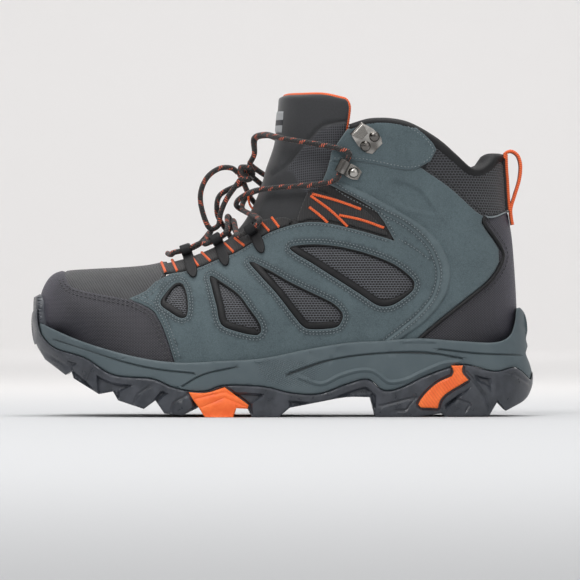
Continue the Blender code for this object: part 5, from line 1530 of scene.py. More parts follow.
BOW_INNER = [
    (-9, 144, 9.5), (-2, 136, 11.5), (5, 122, 8), (7, 106, 4.5), (2, 93, 4.5), (-6, 94, 4.5), (-6, 106, 5),
    (-6, 119, 9), (-11, 131, 12.5),
]  # fmt: skip


BOW_INNER_ENDS = (-0.6, 8.6, 0.4), (-3.4, 6.8, -4.2)


END_UPPER = [(-4, 147, 8.5), (6, 142, 11.5), (16, 133, 9.5), (25, 119, 4.5), (32, 102, 4.5), (36, 85, 4.5)]


END_UPPER_START = (2.4, 6.6, 4.6)


END_LOWER = [(-26, 128, 15), (-30, 116, 14.5), (-28, 102, 8.5), (-29, 88, 4.5), (-33, 72, 4.5),
             (-37, 58, 4.5)]


END_LOWER_START = (-4.4, 1.2, -6.2)


AGLET_LENGTH, AGLET_DIAMETER = 17.0, 3.9


def on_inner_side(route):
    return [last_surface(MEDIAL, [(x, z)], -lift)[0][0] for x, z, lift in route]


def knot_middle():
    return over_tongue(KNOT_HEIGHT, 0, KNOT_LIFT)


# ---------------------------------------------------------------- stitching


def grown(loop, by):
    """A closed loop moved outwards, or inwards when by is negative."""
    area = (loop[:, 0] * np.roll(loop[:, 1], -1) - np.roll(loop[:, 0], -1) * loop[:, 1]).sum()
    ring = np.vstack([loop, loop[:2]])
    out = shifted(ring, -by if area > 0 else by)
    out[0] = out[-2]
    return out[:-2]


def stitches(name, runs, sides, look, body="boot", slot_name="webbing", pitch=2.1, length=1.15, radius=0.25):
    """Small thread capsules along side-view lines, given as (line, lift), joined into one piece."""
    places, normals, heads = [], [], []
    for line, lift in runs:
        for side in sides:
            smooth = resampled(line, 0.8)
            flat = last_surface(side, smooth, -lift)[0]
            reach = along(flat)
            count = int(reach[-1] / pitch)
            if count < 1:
                continue
            middle = (np.arange(count) + 0.5) * reach[-1] / count
            stops = middle[:, None] + np.array([-0.5, -0.36, 0.0, 0.36, 0.5]) * length
            xy = np.stack([np.interp(stops, reach, smooth[:, k]) for k in (0, 1)], axis=-1)
            place, normal = last_surface(side, xy.reshape(-1, 2), -lift, np.zeros(xy.size // 2, bool))
            places.append(place.reshape(-1, 5, 3))
            normals.append(normal.reshape(-1, 5, 3))
    places, normals = np.vstack(places), np.vstack(normals)
    heads = places[:, -1] - places[:, 0]
    heads /= np.linalg.norm(heads, axis=1)[:, None]
    across = np.cross(heads[:, None], normals)
    rise = np.array([-0.45, 0.05, 0.2, 0.05, -0.45])[None, :, None]
    size = np.array([0.45, 0.9, 1.0, 0.9, 0.45])[None, :, None, None] * radius
    turn = 2 * np.pi * np.arange(6) / 6
    around = across[:, :, None] * np.cos(turn)[None, None, :, None] + normals[:, :, None] * np.sin(turn)[None,
            None, :, None]
    points = (places + normals * rise)[:, :, None] + around * size
    count = len(points)
    index = np.arange(30).reshape(5, 6)
    a, b = index[:-1], index[1:]
    faces = np.stack([a, np.roll(a, -1, 1), np.roll(b, -1, 1), b], axis=-1).reshape(-1, 4)
    every = (faces[None] + 30 * np.arange(count)[:, None, None]).reshape(-1, 4).tolist()
    for k in range(count):
        every += [[30 * k + i for i in range(5, -1, -1)], [30 * k + 24 + i for i in range(6)]]
    mesh = mesh_of(name, points.reshape(-1, 3), every, weld=0.001, sharp=0)
    return new_piece(name, mesh, body, slot_name, look)


def both_rows(line, first, second, lift=0.0):
    return [(shifted(line, first), lift), (shifted(line, second), lift)]


# ---------------------------------------------------------------- upper


BAND_HEIGHT = 1.3
DROP_CENTRE, DROP_SIZE, DROP_LEAN = np.array([80.0, 134.0]), (19.0, 7.6), math.radians(-32)


def band_height(xy):
    """The raised band that swings round the ankle, with soft shoulders."""
    inner, outer = curve(BAND_INNER, 2.0), curve(BAND_OUTER, 2.0)
    ring = np.vstack([inner, outer[::-1]])
    near = distance(np.vstack([ring, ring[:1]]), xy)
    return np.where(inside(ring, xy), BAND_HEIGHT * smoothstep(near, -0.3, 1.1),
                    -0.25 * (1 - smoothstep(near, 0.3, 1.2)))


def band_highlight(xy):
    """1 over the raised band and up to 1.9 along its inner edge, where a highlight is painted into the
    nubuck's colour.
    """
    inner, outer = curve(BAND_INNER, 2.0), curve(BAND_OUTER, 2.0)
    ring = np.vstack([inner, outer[::-1]])
    near = distance(np.vstack([ring, ring[:1]]), xy)
    brushed = np.where(inside(ring, xy), smoothstep(near, 0.0, 1.0), 0.0)
    return np.maximum(brushed, 1.9 * (1 - smoothstep(distance(inner, xy), 0.2, 0.8)))


def pressed_drop(xy):
    """The teardrop pressed into the rear quarter, round in front and pointed behind."""
    turn = np.array([[math.cos(DROP_LEAN), math.sin(DROP_LEAN)], [-math.sin(DROP_LEAN), math.cos(DROP_LEAN)]])
    local = (xy - DROP_CENTRE) @ turn.T / DROP_SIZE
    taper = np.interp(local[:, 0], [-1, 0.1, 1.2], [1.0, 1.0, 0.15])
    level = np.hypot(local[:, 0], local[:, 1] / taper)
    return -1.3 * (1 - smoothstep(level, 0.62, 1.0)) + 0.45 * smoothstep(level, 0.8,
            1.05) * (1 - smoothstep(level, 1.05, 1.5))


def suede_relief(xy):
    return band_height(xy) + pressed_drop(xy)


def suede_seams():
    """The pale seams of the quarter: (line, lift over the face)."""
    runs = []
    for window in WINDOWS:
        loop = closed_curve(window, 1.5)
        for by in (1.4, 2.9):
            runs.append((np.vstack([grown(loop, by), grown(loop, by)[:1]]), 0.0))
    throat = curve(THROAT_EDGE, 2.0)
    runs += [(shifted(throat, -1.9)[2:-2], 0.0)]
    toe = part_of(curve(TOE_CAP_EDGE, 2.0), VAMP_TIP, (-66.5, 35))
    runs += [(shifted(toe, 2.0)[2:-1], 0.0), (shifted(toe, 4.2)[3:-1], 0.0)]
    tip = curve([VAMP_TIP, (-83.6, 78), (-78, 83.6), THROAT_CORNER], 2.0)
    runs += [(shifted(tip, -2.0)[2:], 0.0), (shifted(tip, -4.2)[4:], 0.0)]
    inner = curve(BAND_INNER, 2.0)
    runs += [(shifted(inner, 1.6)[2:-2], BAND_HEIGHT), (shifted(inner, -1.6)[3:-2], 0.0)]
    gore = curve(GORE_UPPER_EDGE, 2.0)
    runs += [(shifted(gore, -1.8)[1:-2], 0.0)]
    runs += [(curve([(71, 109.5), (81, 103.5), (90.5, 96.5)], 2.0), 0.0)]
    return [run for run in runs if len(run[0]) > 2]


def upper():
    new_piece("toe_cap", shell("toe_cap", toe_cap_outline(), BOTH), "boot", "ballistic", LOOKS["ballistic"],
              "toe_cap")
    new_piece("vamp", shell("vamp", vamp_outline(), BOTH, top=0.5), "boot", "mesh", LOOKS["ribbed"], "vamp")
    counter = shell("heel_counter", counter_outline(), BOTH)
    new_piece("heel_counter", counter, "boot", "ballistic", LOOKS["ballistic"], "heel_counter")
    collar = shell("collar_mesh", collar_outline(), BOTH, top=0.5)
    new_piece("collar_mesh", collar, "boot", "mesh", LOOKS["collar"], "collar_mesh")
    windows = [closed_curve(window, 1.8)[::-1] for window in WINDOWS]
    seams = suede_seams()
    threads = [(resampled(line, 2.0)) for line, _ in seams]

    # painted shade along the stitch rows: 1 on a seam line, falling to 0 about a millimetre away
    def seam_shade(xy):
        return 1 - smoothstep(np.min([distance(line, xy) for line in threads], axis=0), 0.3, 1.0)

    features = [(curve(BAND_INNER, 2.0), 1.2), (curve(BAND_OUTER, 2.0), 1.2)]
    turn = np.linspace(0, 2 * math.pi, 50)[:, None]
    lean = np.array([[math.cos(DROP_LEAN), math.sin(DROP_LEAN)], [-math.sin(DROP_LEAN), math.cos(DROP_LEAN)]])
    around = DROP_SIZE[0] * np.cos(turn) * lean[0] + DROP_SIZE[1] * np.sin(turn) * lean[1]
    drop = DROP_CENTRE + 0.85 * around
    features += [(drop, 1.6)]
    quarter, patch = quarter_outline(), patch_outline()
    for name, side in SIDES.items():
        mesh = shell(f"quarter_{name}", quarter, (side,), holes=windows, features=features,
                     relief=suede_relief,
                     mark=seam_shade, painted_light=band_highlight)  # fmt: skip
        new_piece(f"quarter_{name}", mesh, "boot", "suede", LOOKS["suede"], f"quarter_{name}")
        mesh = shell(f"ankle_patch_{name}", patch, (side,), top=-0.8, roll=(1.0, 0.9))
        new_piece(f"ankle_patch_{name}", mesh, "boot", "suede", LOOKS["suede"], f"ankle_patch_{name}")
        line = capped(part_of(border(COLLAR_LOWER, 0.0, 2.0), COLLAR_LOWER[2], (139.6, 126.2)), None, BACK)
        path, _ = last_surface(side, line, -0.1)
        new_piece(f"collar_seam_{name}", tube(f"collar_seam_{name}", path, 0.5, 8), "boot", "webbing",
                  LOOKS["thread"])
        line = capped(border(COUNTER_EDGE, 0.9, 2.0), None, TUCK)
        path, _ = last_surface(side, line, -0.1)
        piping = f"counter_piping_{name}"
        new_piece(piping, tube(piping, path, 1.15, 10), "boot", "webbing", LOOKS["smooth"])
    stitches("suede_stitching", seams, BOTH, LOOKS["thread"])
    lower, rear = curve(PATCH_LOWER, 2.0), curve(PATCH_REAR, 2.0)
    patch_rows = [(shifted(lower, 1.0)[1:], 0.8), (shifted(rear, -1.7)[1:-1], 0.8)]
    stitches("patch_stitching", patch_rows, BOTH, LOOKS["thread"])
    toe = curve(TOE_CAP_EDGE, 2.0)[2:]
    heel = curve(COUNTER_EDGE, 2.0)
    top = curve(COLLAR_LOWER, 2.0)
    dark = [*both_rows(toe, -1.9, -4.1), *both_rows(heel, 1.9, 4.1), (shifted(top, 1.9)[1:-2], 0.0)]
    stitches("dark_stitching", dark, BOTH, LOOKS["dark_thread"], pitch=3.0, length=2.2, radius=0.3)


def puffed(xy):
    """The mesh behind the windows swells out a little in the middle of each."""
    deep = np.zeros(len(xy))
    for window in WINDOWS:
        loop = closed_curve(window, 2.0)
        near = np.where(inside(loop, xy), distance(np.vstack([loop, loop[:1]]), xy), 0)
        deep = np.maximum(deep, near)
    return UNDERLAY_TOP - 1.5 * smoothstep(deep, 0.5, 7.0)


def window_borders(name, side):
    """The black padded binding inside each window: broad in front and below, narrow elsewhere."""
    meshes = []
    for number, window in enumerate(WINDOWS):
        loop = resampled(np.vstack([closed_curve(window, 1.5), closed_curve(window, 1.5)[:1]]), 1.6)[:-1]
        outward = grown(loop, 1.0) - loop
        outward /= np.linalg.norm(outward, axis=1)[:, None]
        facing = outward @ np.array([-0.62, -0.78])
        half = 0.75 + 1.75 * smoothstep(facing, -0.2, 0.65)
        middle = loop - outward * (half - 0.35)[:, None]
        rings = []
        for t in np.linspace(0, 2 * math.pi, 12, endpoint=False):
            place = middle + outward * (half * math.cos(t))[:, None]
            depth = 2.1 - 1.9 * np.maximum(math.sin(t), 0) * (0.5 + 0.5 * half / 2.5) - 0.5 * min(math.sin(t),
                                                                                                  0)
            rings.append(last_surface(side, place, depth, np.zeros(len(place), bool))[0])
        meshes.append(np.stack(rings, axis=1))
    points, faces, start = [], [], 0
    for rings in meshes:
        rows, around = rings.shape[:2]
        index = start + np.arange(rows * around).reshape(rows, around)
        a, b = index, np.roll(index, -1, 0)
        faces += np.stack([a, np.roll(a, -1, 1), np.roll(b, -1, 1), b], axis=-1).reshape(-1, 4).tolist()
        points.append(rings.reshape(-1, 3))
        start += rows * around
    return mesh_of(name, np.vstack(points), faces, sharp=0)


def linings():
    vamp, quarter, heel = lining_outlines()

    def lining_bottom(xy):
        return lining_depth(xy) + LINING_THICK

    look = LOOKS["lining"]
    for name, outline, sides in (
        ("vamp_lining", vamp, BOTH), ("heel_lining", heel, BOTH),
        ("quarter_lining_lateral", quarter, (LATERAL,)),
        ("quarter_lining_medial", quarter, (MEDIAL,)),
    ):  # fmt: skip
        mesh = shell(name, outline, sides, lining_depth, lining_bottom, roll=(0.5, 0.3), form=COARSE)
        new_piece(name, mesh, "boot", "lining", look, name)
    edge = capped(curve(PUFF_EDGE), FRONT, TUCK)
    puff = joined(edge, part_of(TUCK, edge[-1], TUCK[0]), part_of(FRONT, TUCK[0], edge[0]))
    edge = capped(curve(STIFFENER_EDGE), BACK, TUCK)
    stiff = joined(edge, part_of(TUCK, edge[-1], TUCK[-1]), part_of(BACK, TUCK[-1], edge[0]))
    for name, outline in (("toe_puff", puff), ("heel_stiffener", stiff)):
        mesh = shell(name, outline, BOTH, UNDERLAY_TOP, UNDERLAY_BOTTOM, roll=(0.3, 0.1), form=COARSE)
        new_piece(name, mesh, "boot", "stiffener", LOOKS["stiffener"], name)
    fan = closed_curve(WEBBING_FAN, 3.0)
    outer = part_of(border(THROAT_EDGE, GAP / 2), (-73.5, 89), (3.5, 118))
    strap_outline = joined(outer, curve(THROAT_WEBBING_INNER, 3.0)[::-1])
    for name, side in SIDES.items():
        mesh = shell(f"mesh_underlay_{name}", curve(UNDERLAY, 4.0)[:-1], (side,), puffed, UNDERLAY_BOTTOM,
                     roll=(0.3, 0.1))
        new_piece(f"mesh_underlay_{name}", mesh, "boot", "mesh", LOOKS["spacer"], f"mesh_underlay_{name}")
        mesh = shell(f"gore_{name}", curve(GORE, 4.0), (side,), UNDERLAY_TOP - 0.3, UNDERLAY_BOTTOM,
                     roll=(0.3, 0.1))
        new_piece(f"gore_{name}", mesh, "boot", "webbing", LOOKS["webbing"], f"gore_{name}")
        mesh = shell(f"instep_webbing_{name}", fan, (side,), 1.0, SKIN, roll=(0.6, 0.4))
        new_piece(f"instep_webbing_{name}", mesh, "boot", "webbing", LOOKS["webbing"],
                  f"instep_webbing_{name}")
        mesh = shell(f"throat_webbing_{name}", strap_outline, (side,), -0.2, 1.4, roll=(0.6, 0.5))
        new_piece(f"throat_webbing_{name}", mesh, "boot", "webbing", LOOKS["webbing"],
                  f"throat_webbing_{name}")
        mesh = window_borders(f"window_binding_{name}", side)
        new_piece(f"window_binding_{name}", mesh, "boot", "webbing", LOOKS["smooth"])
        orange_cords(name, side)


FAN_LINES = [
    [(18.5, 136.8), (34, 132.6), (48.4, 127.4)], [(17.5, 135.6), (30, 126.5), (40.2, 116.8)],
    [(35.1, 123.8), (49, 120.8), (62.6, 116.0)], [(16.6, 128.7), (23, 123.8), (28, 119.2)],
]  # fmt: skip
BAR_SPOTS = (-71.5, -64.3, -51.2, -43.8, -29.5, -22.8, -7.5, -1.5)


def orange_cords(name, side):
    """Orange cords woven into the instep fan and across the throat webbing."""
    throat = curve(THROAT_EDGE, 2.0)
    paths = [last_surface(side, resampled(curve(line, 2.0), 1.5), -0.15 + 1.0)[0] for line in FAN_LINES]
    for spot in BAR_SPOTS:
        z = np.interp(spot, throat[:, 0], throat[:, 1])
        ahead = np.array([1.0, np.interp(spot + 1, throat[:, 0], throat[:, 1]) - z])
        ahead /= np.linalg.norm(ahead)
        out = np.array([-ahead[1], ahead[0]])
        reach = np.linspace(0.4, 7.6, 9)[:, None]
        line = (spot, z) + out * reach - ahead * reach * 0.35
        line = line[nearest(FRONT, line)[0] > 0.6]
        paths.append(last_surface(side, line, 0.0)[0])
    points, faces, weave, start = [], [], [], 0
    for path in paths:
        rings, cloth = tube_rings(path, np.full(len(path), 0.85), 8)
        rows, around = rings.shape[:2]
        index = start + np.arange(rows * around).reshape(rows, around)
        a, b = index[:-1], index[1:]
        faces += np.stack([a, np.roll(a, -1, 1), np.roll(b, -1, 1), b], axis=-1).reshape(-1, 4).tolist()
        faces += [index[0][::-1].tolist(), index[-1].tolist()]
        points.append(rings.reshape(-1, 3))
        weave.append(cloth.reshape(-1, 2))
        start += rows * around
    mesh = mesh_of(f"orange_cords_{name}", np.vstack(points), faces, np.vstack(weave), sharp=60)
    new_piece(f"orange_cords_{name}", mesh, "boot", "orange_webbing", LOOKS["piping"])


def collar_roll():
    """The padded roll round the ankle opening, over the foam between the outer and the lining."""
    for name, side in SIDES.items():
        top = resampled(part_of(curve(COLLAR_TOP, 2.0), (41, 179), (137.6, 162)), 2.0)
        ends = capped(top, None, BACK)
        rings = []
        for t in np.linspace(0, 2 * math.pi, 20, endpoint=False):
            half = 2.3 + 3.1 * smoothstep(ends[:, 0], 50, 85)
            outer = math.cos(t) > 0
            fall = (2.2 + 3.0 * smoothstep(ends[:, 0], 60, 95)) if outer else 7.0
            lift = 2.6 if math.sin(t) > 0 else fall
            up = shifted(ends, 1.0) - ends
            place = ends + up * np.reshape(lift * math.sin(t) - 2.2, (-1, 1))
            depth = half + 0.1 - (half + 0.65) * math.cos(t)
            place[-1] = [np.interp(place[-1, 1], BACK[::-1, 1], BACK[::-1, 0]), place[-1, 1]]
            rings.append(last_surface(side, place, depth, np.arange(len(place)) == len(place) - 1)[0])
        rings = np.stack(rings, axis=1)
        mesh = swept(f"collar_roll_{name}", rings, sharp=0)
        piece = new_piece(f"collar_roll_{name}", mesh, "boot", "foam", LOOKS["smooth"])
    edge = capped(curve(FOAM_OUTLINE), None, BACK)
    top = capped(part_of(curve(COLLAR_TOP, 6.0) - [0, 2.5], edge[0], (137.6, 160)), None, BACK)
    foam = joined(edge[1:], part_of(BACK, edge[-1], top[-1]), top[::-1][1:])

    def foam_bottom(xy):
        return lining_depth(xy) - LAYER_CLEAR - 0.3

    mesh = shell("collar_foam", foam, BOTH, UNDERLAY_TOP, foam_bottom, roll=(0.5, 0.3), form=COARSE)
    new_piece("collar_foam", mesh, "boot", "foam", LOOKS["foam"], "collar_foam")


# ---------------------------------------------------------------- sole


GROOVES = [
    [(-139, 47), (-118, 40.5), (-96, 33.5), (-76, 29.2), (-54, 26.8)],
    [(-61, 18.8), (-48, 26.0), (-29, 30.4)],
    [(4.5, 26.9), (29, 34.8), (60.9, 39), (92.8, 38.6), (106.6, 36.3)],
    [(4, 26), (31.5, 35.2), (60, 38.9), (87, 39.5), (110.5, 35.8)],
    [(96, 41.4), (120, 38.8), (146.3, 37.7)],
]
WAVE = [
    (10.5, 24.5), (23.8, 20.4), (35, 25.2), (46.3, 28.5), (55, 28.4), (60, 25.5), (65.8, 21.4), (76, 22.9),
    (86, 27.5),
    (98.6, 32.7), (108, 33.8),
]  # fmt: skip
DOT_FIELD = [(-11, 36), (23, 35), (24, 30), (18, 20), (-6, 20), (-14, 26)]
LUGS = [
    [(-128.2, 27.7), (-111.7, 13.5), (-112.6, 26.6), (-115, 32.7), (-121.6, 36), (-129.3, 31)],
    [(-100.1, 16.2), (-100.6, 9.5), (-84.1, 4.6), (-77.5, 10.1), (-70.9, 18.9), (-78.6, 23.3), (-86.3, 22.8)],
    [(-76.9, 9.0), (-72, 1.9), (-59.8, 0.8), (-53.8, 5.7), (-54.9, 15.6), (-65.4, 17.8), (-73.1, 13.5)],
    [(-19.1, 9.0), (-18.8, -0.5), (-1.8, -0.5), (5.2, 6), (5.2, 12.0), (-8, 16.7)],
    [(56.6, 16.3), (56.6, -0.5), (84.2, -0.5), (83.2, 6.0), (93.2, 14.0), (90, 24), (72, 16)],
    [(98, 4.0), (99.6, -0.5), (127.5, -0.5), (132.5, 9.5), (126, 20), (114, 26), (118, 21)],
]
CREASES = [
    [(112.9, 27.5), (118.5, 21.0), (124.1, 13.2), (128.3, 2)], [(130.3, 28.0), (142, 26.5), (153, 19.9)],
    [(-149.5, 41), (-141, 36.5), (-133, 31.5)], [(-146, 46.5), (-130, 37), (-123, 38.0)],
    [(61.7, 7.0), (82.1, 12.2), (76, 4), (70.9, 4)], [(100.6, 7), (106.2, 11.1), (115.4, 8), (112.9, 4)],
    [(-91, 6.5), (-88, 14), (-80, 19.5)], [(-68, 2), (-66, 9), (-57, 14)],
    [(-120, 20), (-118, 28), (-116, 33)],
]
RAND_DEPTH = 5.5


def groove_shade(xy):
    """1 in the bottoms of the midsole's grooves, where shade is painted."""
    near = np.min([distance(curve(line, 2.0), xy) for line in GROOVES], axis=0)
    return 1 - smoothstep(near, 0.1, 0.65)


def groove_relief(xy):
    cut = np.zeros(len(xy))
    for line in GROOVES:
        near = distance(curve(line, 2.0), xy)
        cut = np.maximum(cut, 1 - smoothstep(near, 0.1, 1.0))
    lip = distance(FEATHER_LINE, xy)
    ridge = 1 - smoothstep(distance(curve(WAVE, 2.0), xy), 0.3, 1.6)
    return 1.0 * ridge - 1.1 * cut - 0.7 * (1 - smoothstep(np.abs(lip - 3.0), 0.1, 0.9))


def dot_mark(xy):
    ring = closed_curve(DOT_FIELD, 2.0)
    near = distance(np.vstack([ring, ring[:1]]), xy)
    return np.where(inside(ring, xy), smoothstep(near, 0, 1.5), 0.0)


def lug_relief(xy):
    """The tread's side wall: it falls back between the lugs, under a rand that follows the parting line."""
    stand = 1 - smoothstep(distance(PARTING_LINE, xy), RAND_DEPTH - 1.2, RAND_DEPTH + 0.6)
    stand = np.maximum(stand, 1 - smoothstep(xy[:, 0], -132, -129))
    stand = np.maximum(stand, smoothstep(xy[:, 0], 126, 129))
    for lug in LUGS:
        ring = np.array(lug, float)
        near = distance(np.vstack([ring, ring[:1]]), xy)
        stand = np.maximum(stand, np.where(inside(ring, xy), smoothstep(near, -0.4, 1.2), 0.0))
    stand = np.maximum(stand, 1 - smoothstep(distance(curve(HEEL_INSERT_FACE, 3.0), xy), 4.0, 6.5))
    cut = np.zeros(len(xy))
    for line in CREASES:
        cut = np.maximum(cut, 1 - smoothstep(distance(np.array(line, float), xy), 0.2, 1.4))
    for outline in (FOREFOOT_INSERT, HEEL_INSERT_FACE):
        ring = curve(outline, 3.0)
        cut = np.maximum(cut, 1.6 * (1 - smoothstep(distance(ring, xy), 0.7, 1.7)))
    return -2.6 * (1 - stand) - 0.9 * cut


def hollowed(mesh, grow):
    """The mesh with the room of the lasted upper cut from it."""
    ridge = part_of(FRONT, FLOOR_LINE[0], (-143.3, 86.3))
    back = part_of(BACK, (143.5, 90), FLOOR_LINE[-1])
    outline = joined(ridge, back, FLOOR_LINE[1:-1][::-1])
    xy, faces = fill([refined(outline, 4.0)], COARSE, np.full(len(COARSE), 0.04))
    ridge_points = on_silhouette(xy)
    faces = faces[~ridge_points[faces].all(axis=1)]
    count = len(xy)
    sheets = [last_surface(side, xy, -grow, ridge_points)[0] for side in BOTH]
    every = faces.tolist() + (faces[:, ::-1] + count).tolist()
    every += [(b, a, count + a, count + b) for a,
              b in rim(faces) if not (ridge_points[a] and ridge_points[b])]
    tool = bpy.data.objects.new("tool", mesh_of("tool", np.vstack(sheets), every, sharp=0))
    body = bpy.data.objects.new("body", mesh)
    for piece in (tool, body):
        bpy.context.scene.collection.objects.link(piece)
    modifier = body.modifiers.new("cut", "BOOLEAN")
    modifier.object, modifier.operation, modifier.solver = tool, "DIFFERENCE", "EXACT"
    bpy.context.view_layer.update()
    cut = bpy.data.meshes.new_from_object(body.evaluated_get(bpy.context.evaluated_depsgraph_get()))
    for piece in (tool, body):
        bpy.data.objects.remove(piece, do_unlink=True)
    cut.materials.clear()
    return cut


def sole():
    parting = PARTING_LINE - [0, CLEAR]
    tread = [
        p for p in TREAD[1:] if not (-50.1 < p[0] < -28.9 and p[1] < 1)
    ]
    at = [p[0] for p in tread].index(-52) + 1
    tread[at:at] = [(-49, 8, 1), (-30.5, 8, 1)]
    outline = joined(curve(tread, 3.0), parting[::-1])
    features = [(np.array([*lug, lug[0]], float), 1.2) for lug in LUGS]
    features += [(np.array(line, float), 1.3) for line in CREASES] + [(PARTING_LINE - [0, RAND_DEPTH], 1.2)]
    features += [(curve(outline, 3.0), 1.7) for outline in (FOREFOOT_INSERT, HEEL_INSERT_FACE)]
    mesh = wall("outsole", outline, sole_half_width, roll=(1.3, 1.1), features=features, relief=lug_relief)
    new_piece("outsole", mesh, "boot", "rubber", LOOKS["rubber"], "outsole")
    edge = curve([(-150.4, 75.4), (-148.4, 74.6), (-146.8, 70), (-146.2, 62), (-144, 54), (-137, 47),
                  (-130, 42)], 2.0)
    edge = capped(edge, FRONT, FLOOR_LINE)
    bumper = joined(edge, part_of(FLOOR_LINE, edge[-1], FLOOR_LINE[0]),
                    part_of(FRONT, FLOOR_LINE[0], edge[0]))
    mesh = shell("toe_bumper", bumper, BOTH, -4.0, 0.6, roll=(1.5, 3.2))
    new_piece("toe_bumper", mesh, "boot", "rubber", LOOKS["rubber"])
    rand = [
        (-152.8, 66, 1), (-154.9, 63), (-155.3, 56), (-154.6, 49), (-153.4, 44, 1), (-148.2, 46),
        (-149.2, 52), (-150.8, 58),
        (-151.0, 66, 1), (-152.8, 66, 1),
    ]  # fmt: skip
    mesh = wall("toe_rand", curve(rand, 2.0)[:-1], lambda xy: sole_half_width(xy) + 0.2, roll=(1.0, 0.8),
                spacing=1.5)
    new_piece("toe_rand", mesh, "boot", "rubber", LOOKS["rubber"])

    heel_back = [
        (154.7, 26.0), (153.2, 32), (151.0, 37), (150.5, 39.4), (151.8, 43), (150.9, 47.6), (151.7, 53),
        (151.2, 59),
        (149.6, 64), (146.8, 66.9, 1),
    ]  # fmt: skip
    top_edge = curve([*FEATHER[:-3], (139.5, 49), (143.2, 57), (144.4, 66.2, 1)], STEP)
    cup = joined(PARTING_LINE, curve(heel_back, 1.2), top_edge[::-1])
    features = [(curve(line, 2.0), 1.0) for line in GROOVES] + [(curve(WAVE, 2.0), 1.6)]
    mesh = wall("midsole", cup, lambda xy: sole_half_width(xy, 1.0), roll=(1.6, 1.3), features=features,
                relief=groove_relief, mark=dot_mark, painted_light=groove_shade)  # fmt: skip
    mesh = hollowed(mesh, 0.1)
    new_piece("midsole", mesh, "boot", "midsole", LOOKS["midsole"], "midsole")

    shank_line = part_of(FLOOR_LINE, (-20, 29), (105, 41))
    mesh = wall("shank", band(shank_line[1:-1], -1.6, -0.1), lambda xy: np.full(len(xy), 10.0),
                roll=(0.3, 0.3))
    new_piece("shank", mesh, "boot", "stiffener", LOOKS["stiffener"], "shank")
    board_line = part_of(FLOOR_LINE, (-122, 40), (121, 41))
    mesh = wall("lasting_board", band(board_line, 0.3, 2.3), lambda xy: last_height(xy + [0, 4]) - 7.2,
                roll=(0.3, 0.3))
    new_piece("lasting_board", mesh, "boot", "board", LOOKS["board"], "lasting_board")
    footbed_line = part_of(FLOOR_LINE, (-120, 42), (121, 41))
    mesh = wall("footbed", band(footbed_line, 2.7, 7.0), lambda xy: last_height(xy + [0, 3]) - 8.0,
                roll=(1.2, 1.2))
    new_piece("footbed", mesh, "footbed", "foam", LOOKS["foam"], "footbed")

    insert = curve(FOREFOOT_INSERT, 3.0)[:-1]
    ribs = [(np.array([(-50.6, 5.6), (-35, 12.0), (-22, 6.5)]), 1.0),
            (np.array([(-54.5, 11), (-35, 15.4), (-28, 12.5)]), 1.0)]

    def facets(xy):
        cut = np.maximum(1 - smoothstep(distance(ribs[0][0], xy), 0.1, 1.1),
                         1 - smoothstep(distance(ribs[1][0], xy), 0.1, 1.1))
        return -0.5 * cut - 1.2 * smoothstep(-xy[:, 1], -6, 0)

    mesh = wall("forefoot_insert", insert, lambda xy: sole_half_width(xy) + 0.5, roll=(1.2, 0.9),
                features=ribs, relief=facets)
    new_piece("forefoot_insert", mesh, "boot", "orange_rubber", LOOKS["orange_rubber"], "forefoot_insert")
    heel = curve(HEEL_INSERT_FACE, 2.0)[:-1]
    for name, side in SIDES.items():
        mesh = wall(f"heel_insert_{name}", heel, lambda xy: sole_half_width(xy) + 0.7, side=side, inner=6.0,
                    roll=(0.9, 0.8))  # fmt: skip
        new_piece(f"heel_insert_{name}", mesh, "boot", "orange_rubber", LOOKS["orange_ribs"],
                  f"heel_insert_{name}")


# ---------------------------------------------------------------- tongue


def tongue_under(xy):
    return TONGUE_TOP + 1.6 + (TONGUE_BOTTOM - TONGUE_TOP - 1.6) * smoothstep(xy[:, 0] + xy[:, 1], 30, 110)


TONGUE_SEAM = [(-6, 150), (-0.3, 155), (9, 165.5), (20.4, 176.5), (27, 179.3), (39, 181)]
TONGUE_MESH = [(0.3, 154), (9.5, 164.7), (20.8, 175.6), (27, 178.3), (39.5, 180), (42, 165), (30, 140),
               (20, 128)]


def tongue_puff(xy):
    """The padding swells the tongue's shaft and front; a pressed line parts its face from its mesh side."""
    z = xy[:, 1]
    swell = 0.9 * smoothstep(z, 120, 165) * (1 - smoothstep(xy[:, 0], 4, 18)) - 0.5 * smoothstep(xy[:, 0], 14,
                                                                                                 24)
    front = smoothstep(z, 98,
                       116) * (1 - smoothstep(z, 150, 172)) * (1 - smoothstep(distance(FRONT, xy), 5, 15))
    line = distance(curve(TONGUE_SEAM, 2.0), xy)
    return swell + 3.6 * front - 0.8 * (1 - smoothstep(line, 0.2, 1.4))


def tongue_mesh(xy):
    """1 over the tongue's knitted side panel."""
    ring = np.array(TONGUE_MESH, float)
    near = distance(np.vstack([ring, ring[:1]]), xy)
    return np.where(inside(ring, xy), smoothstep(near, 0.0, 0.6), 0.0)


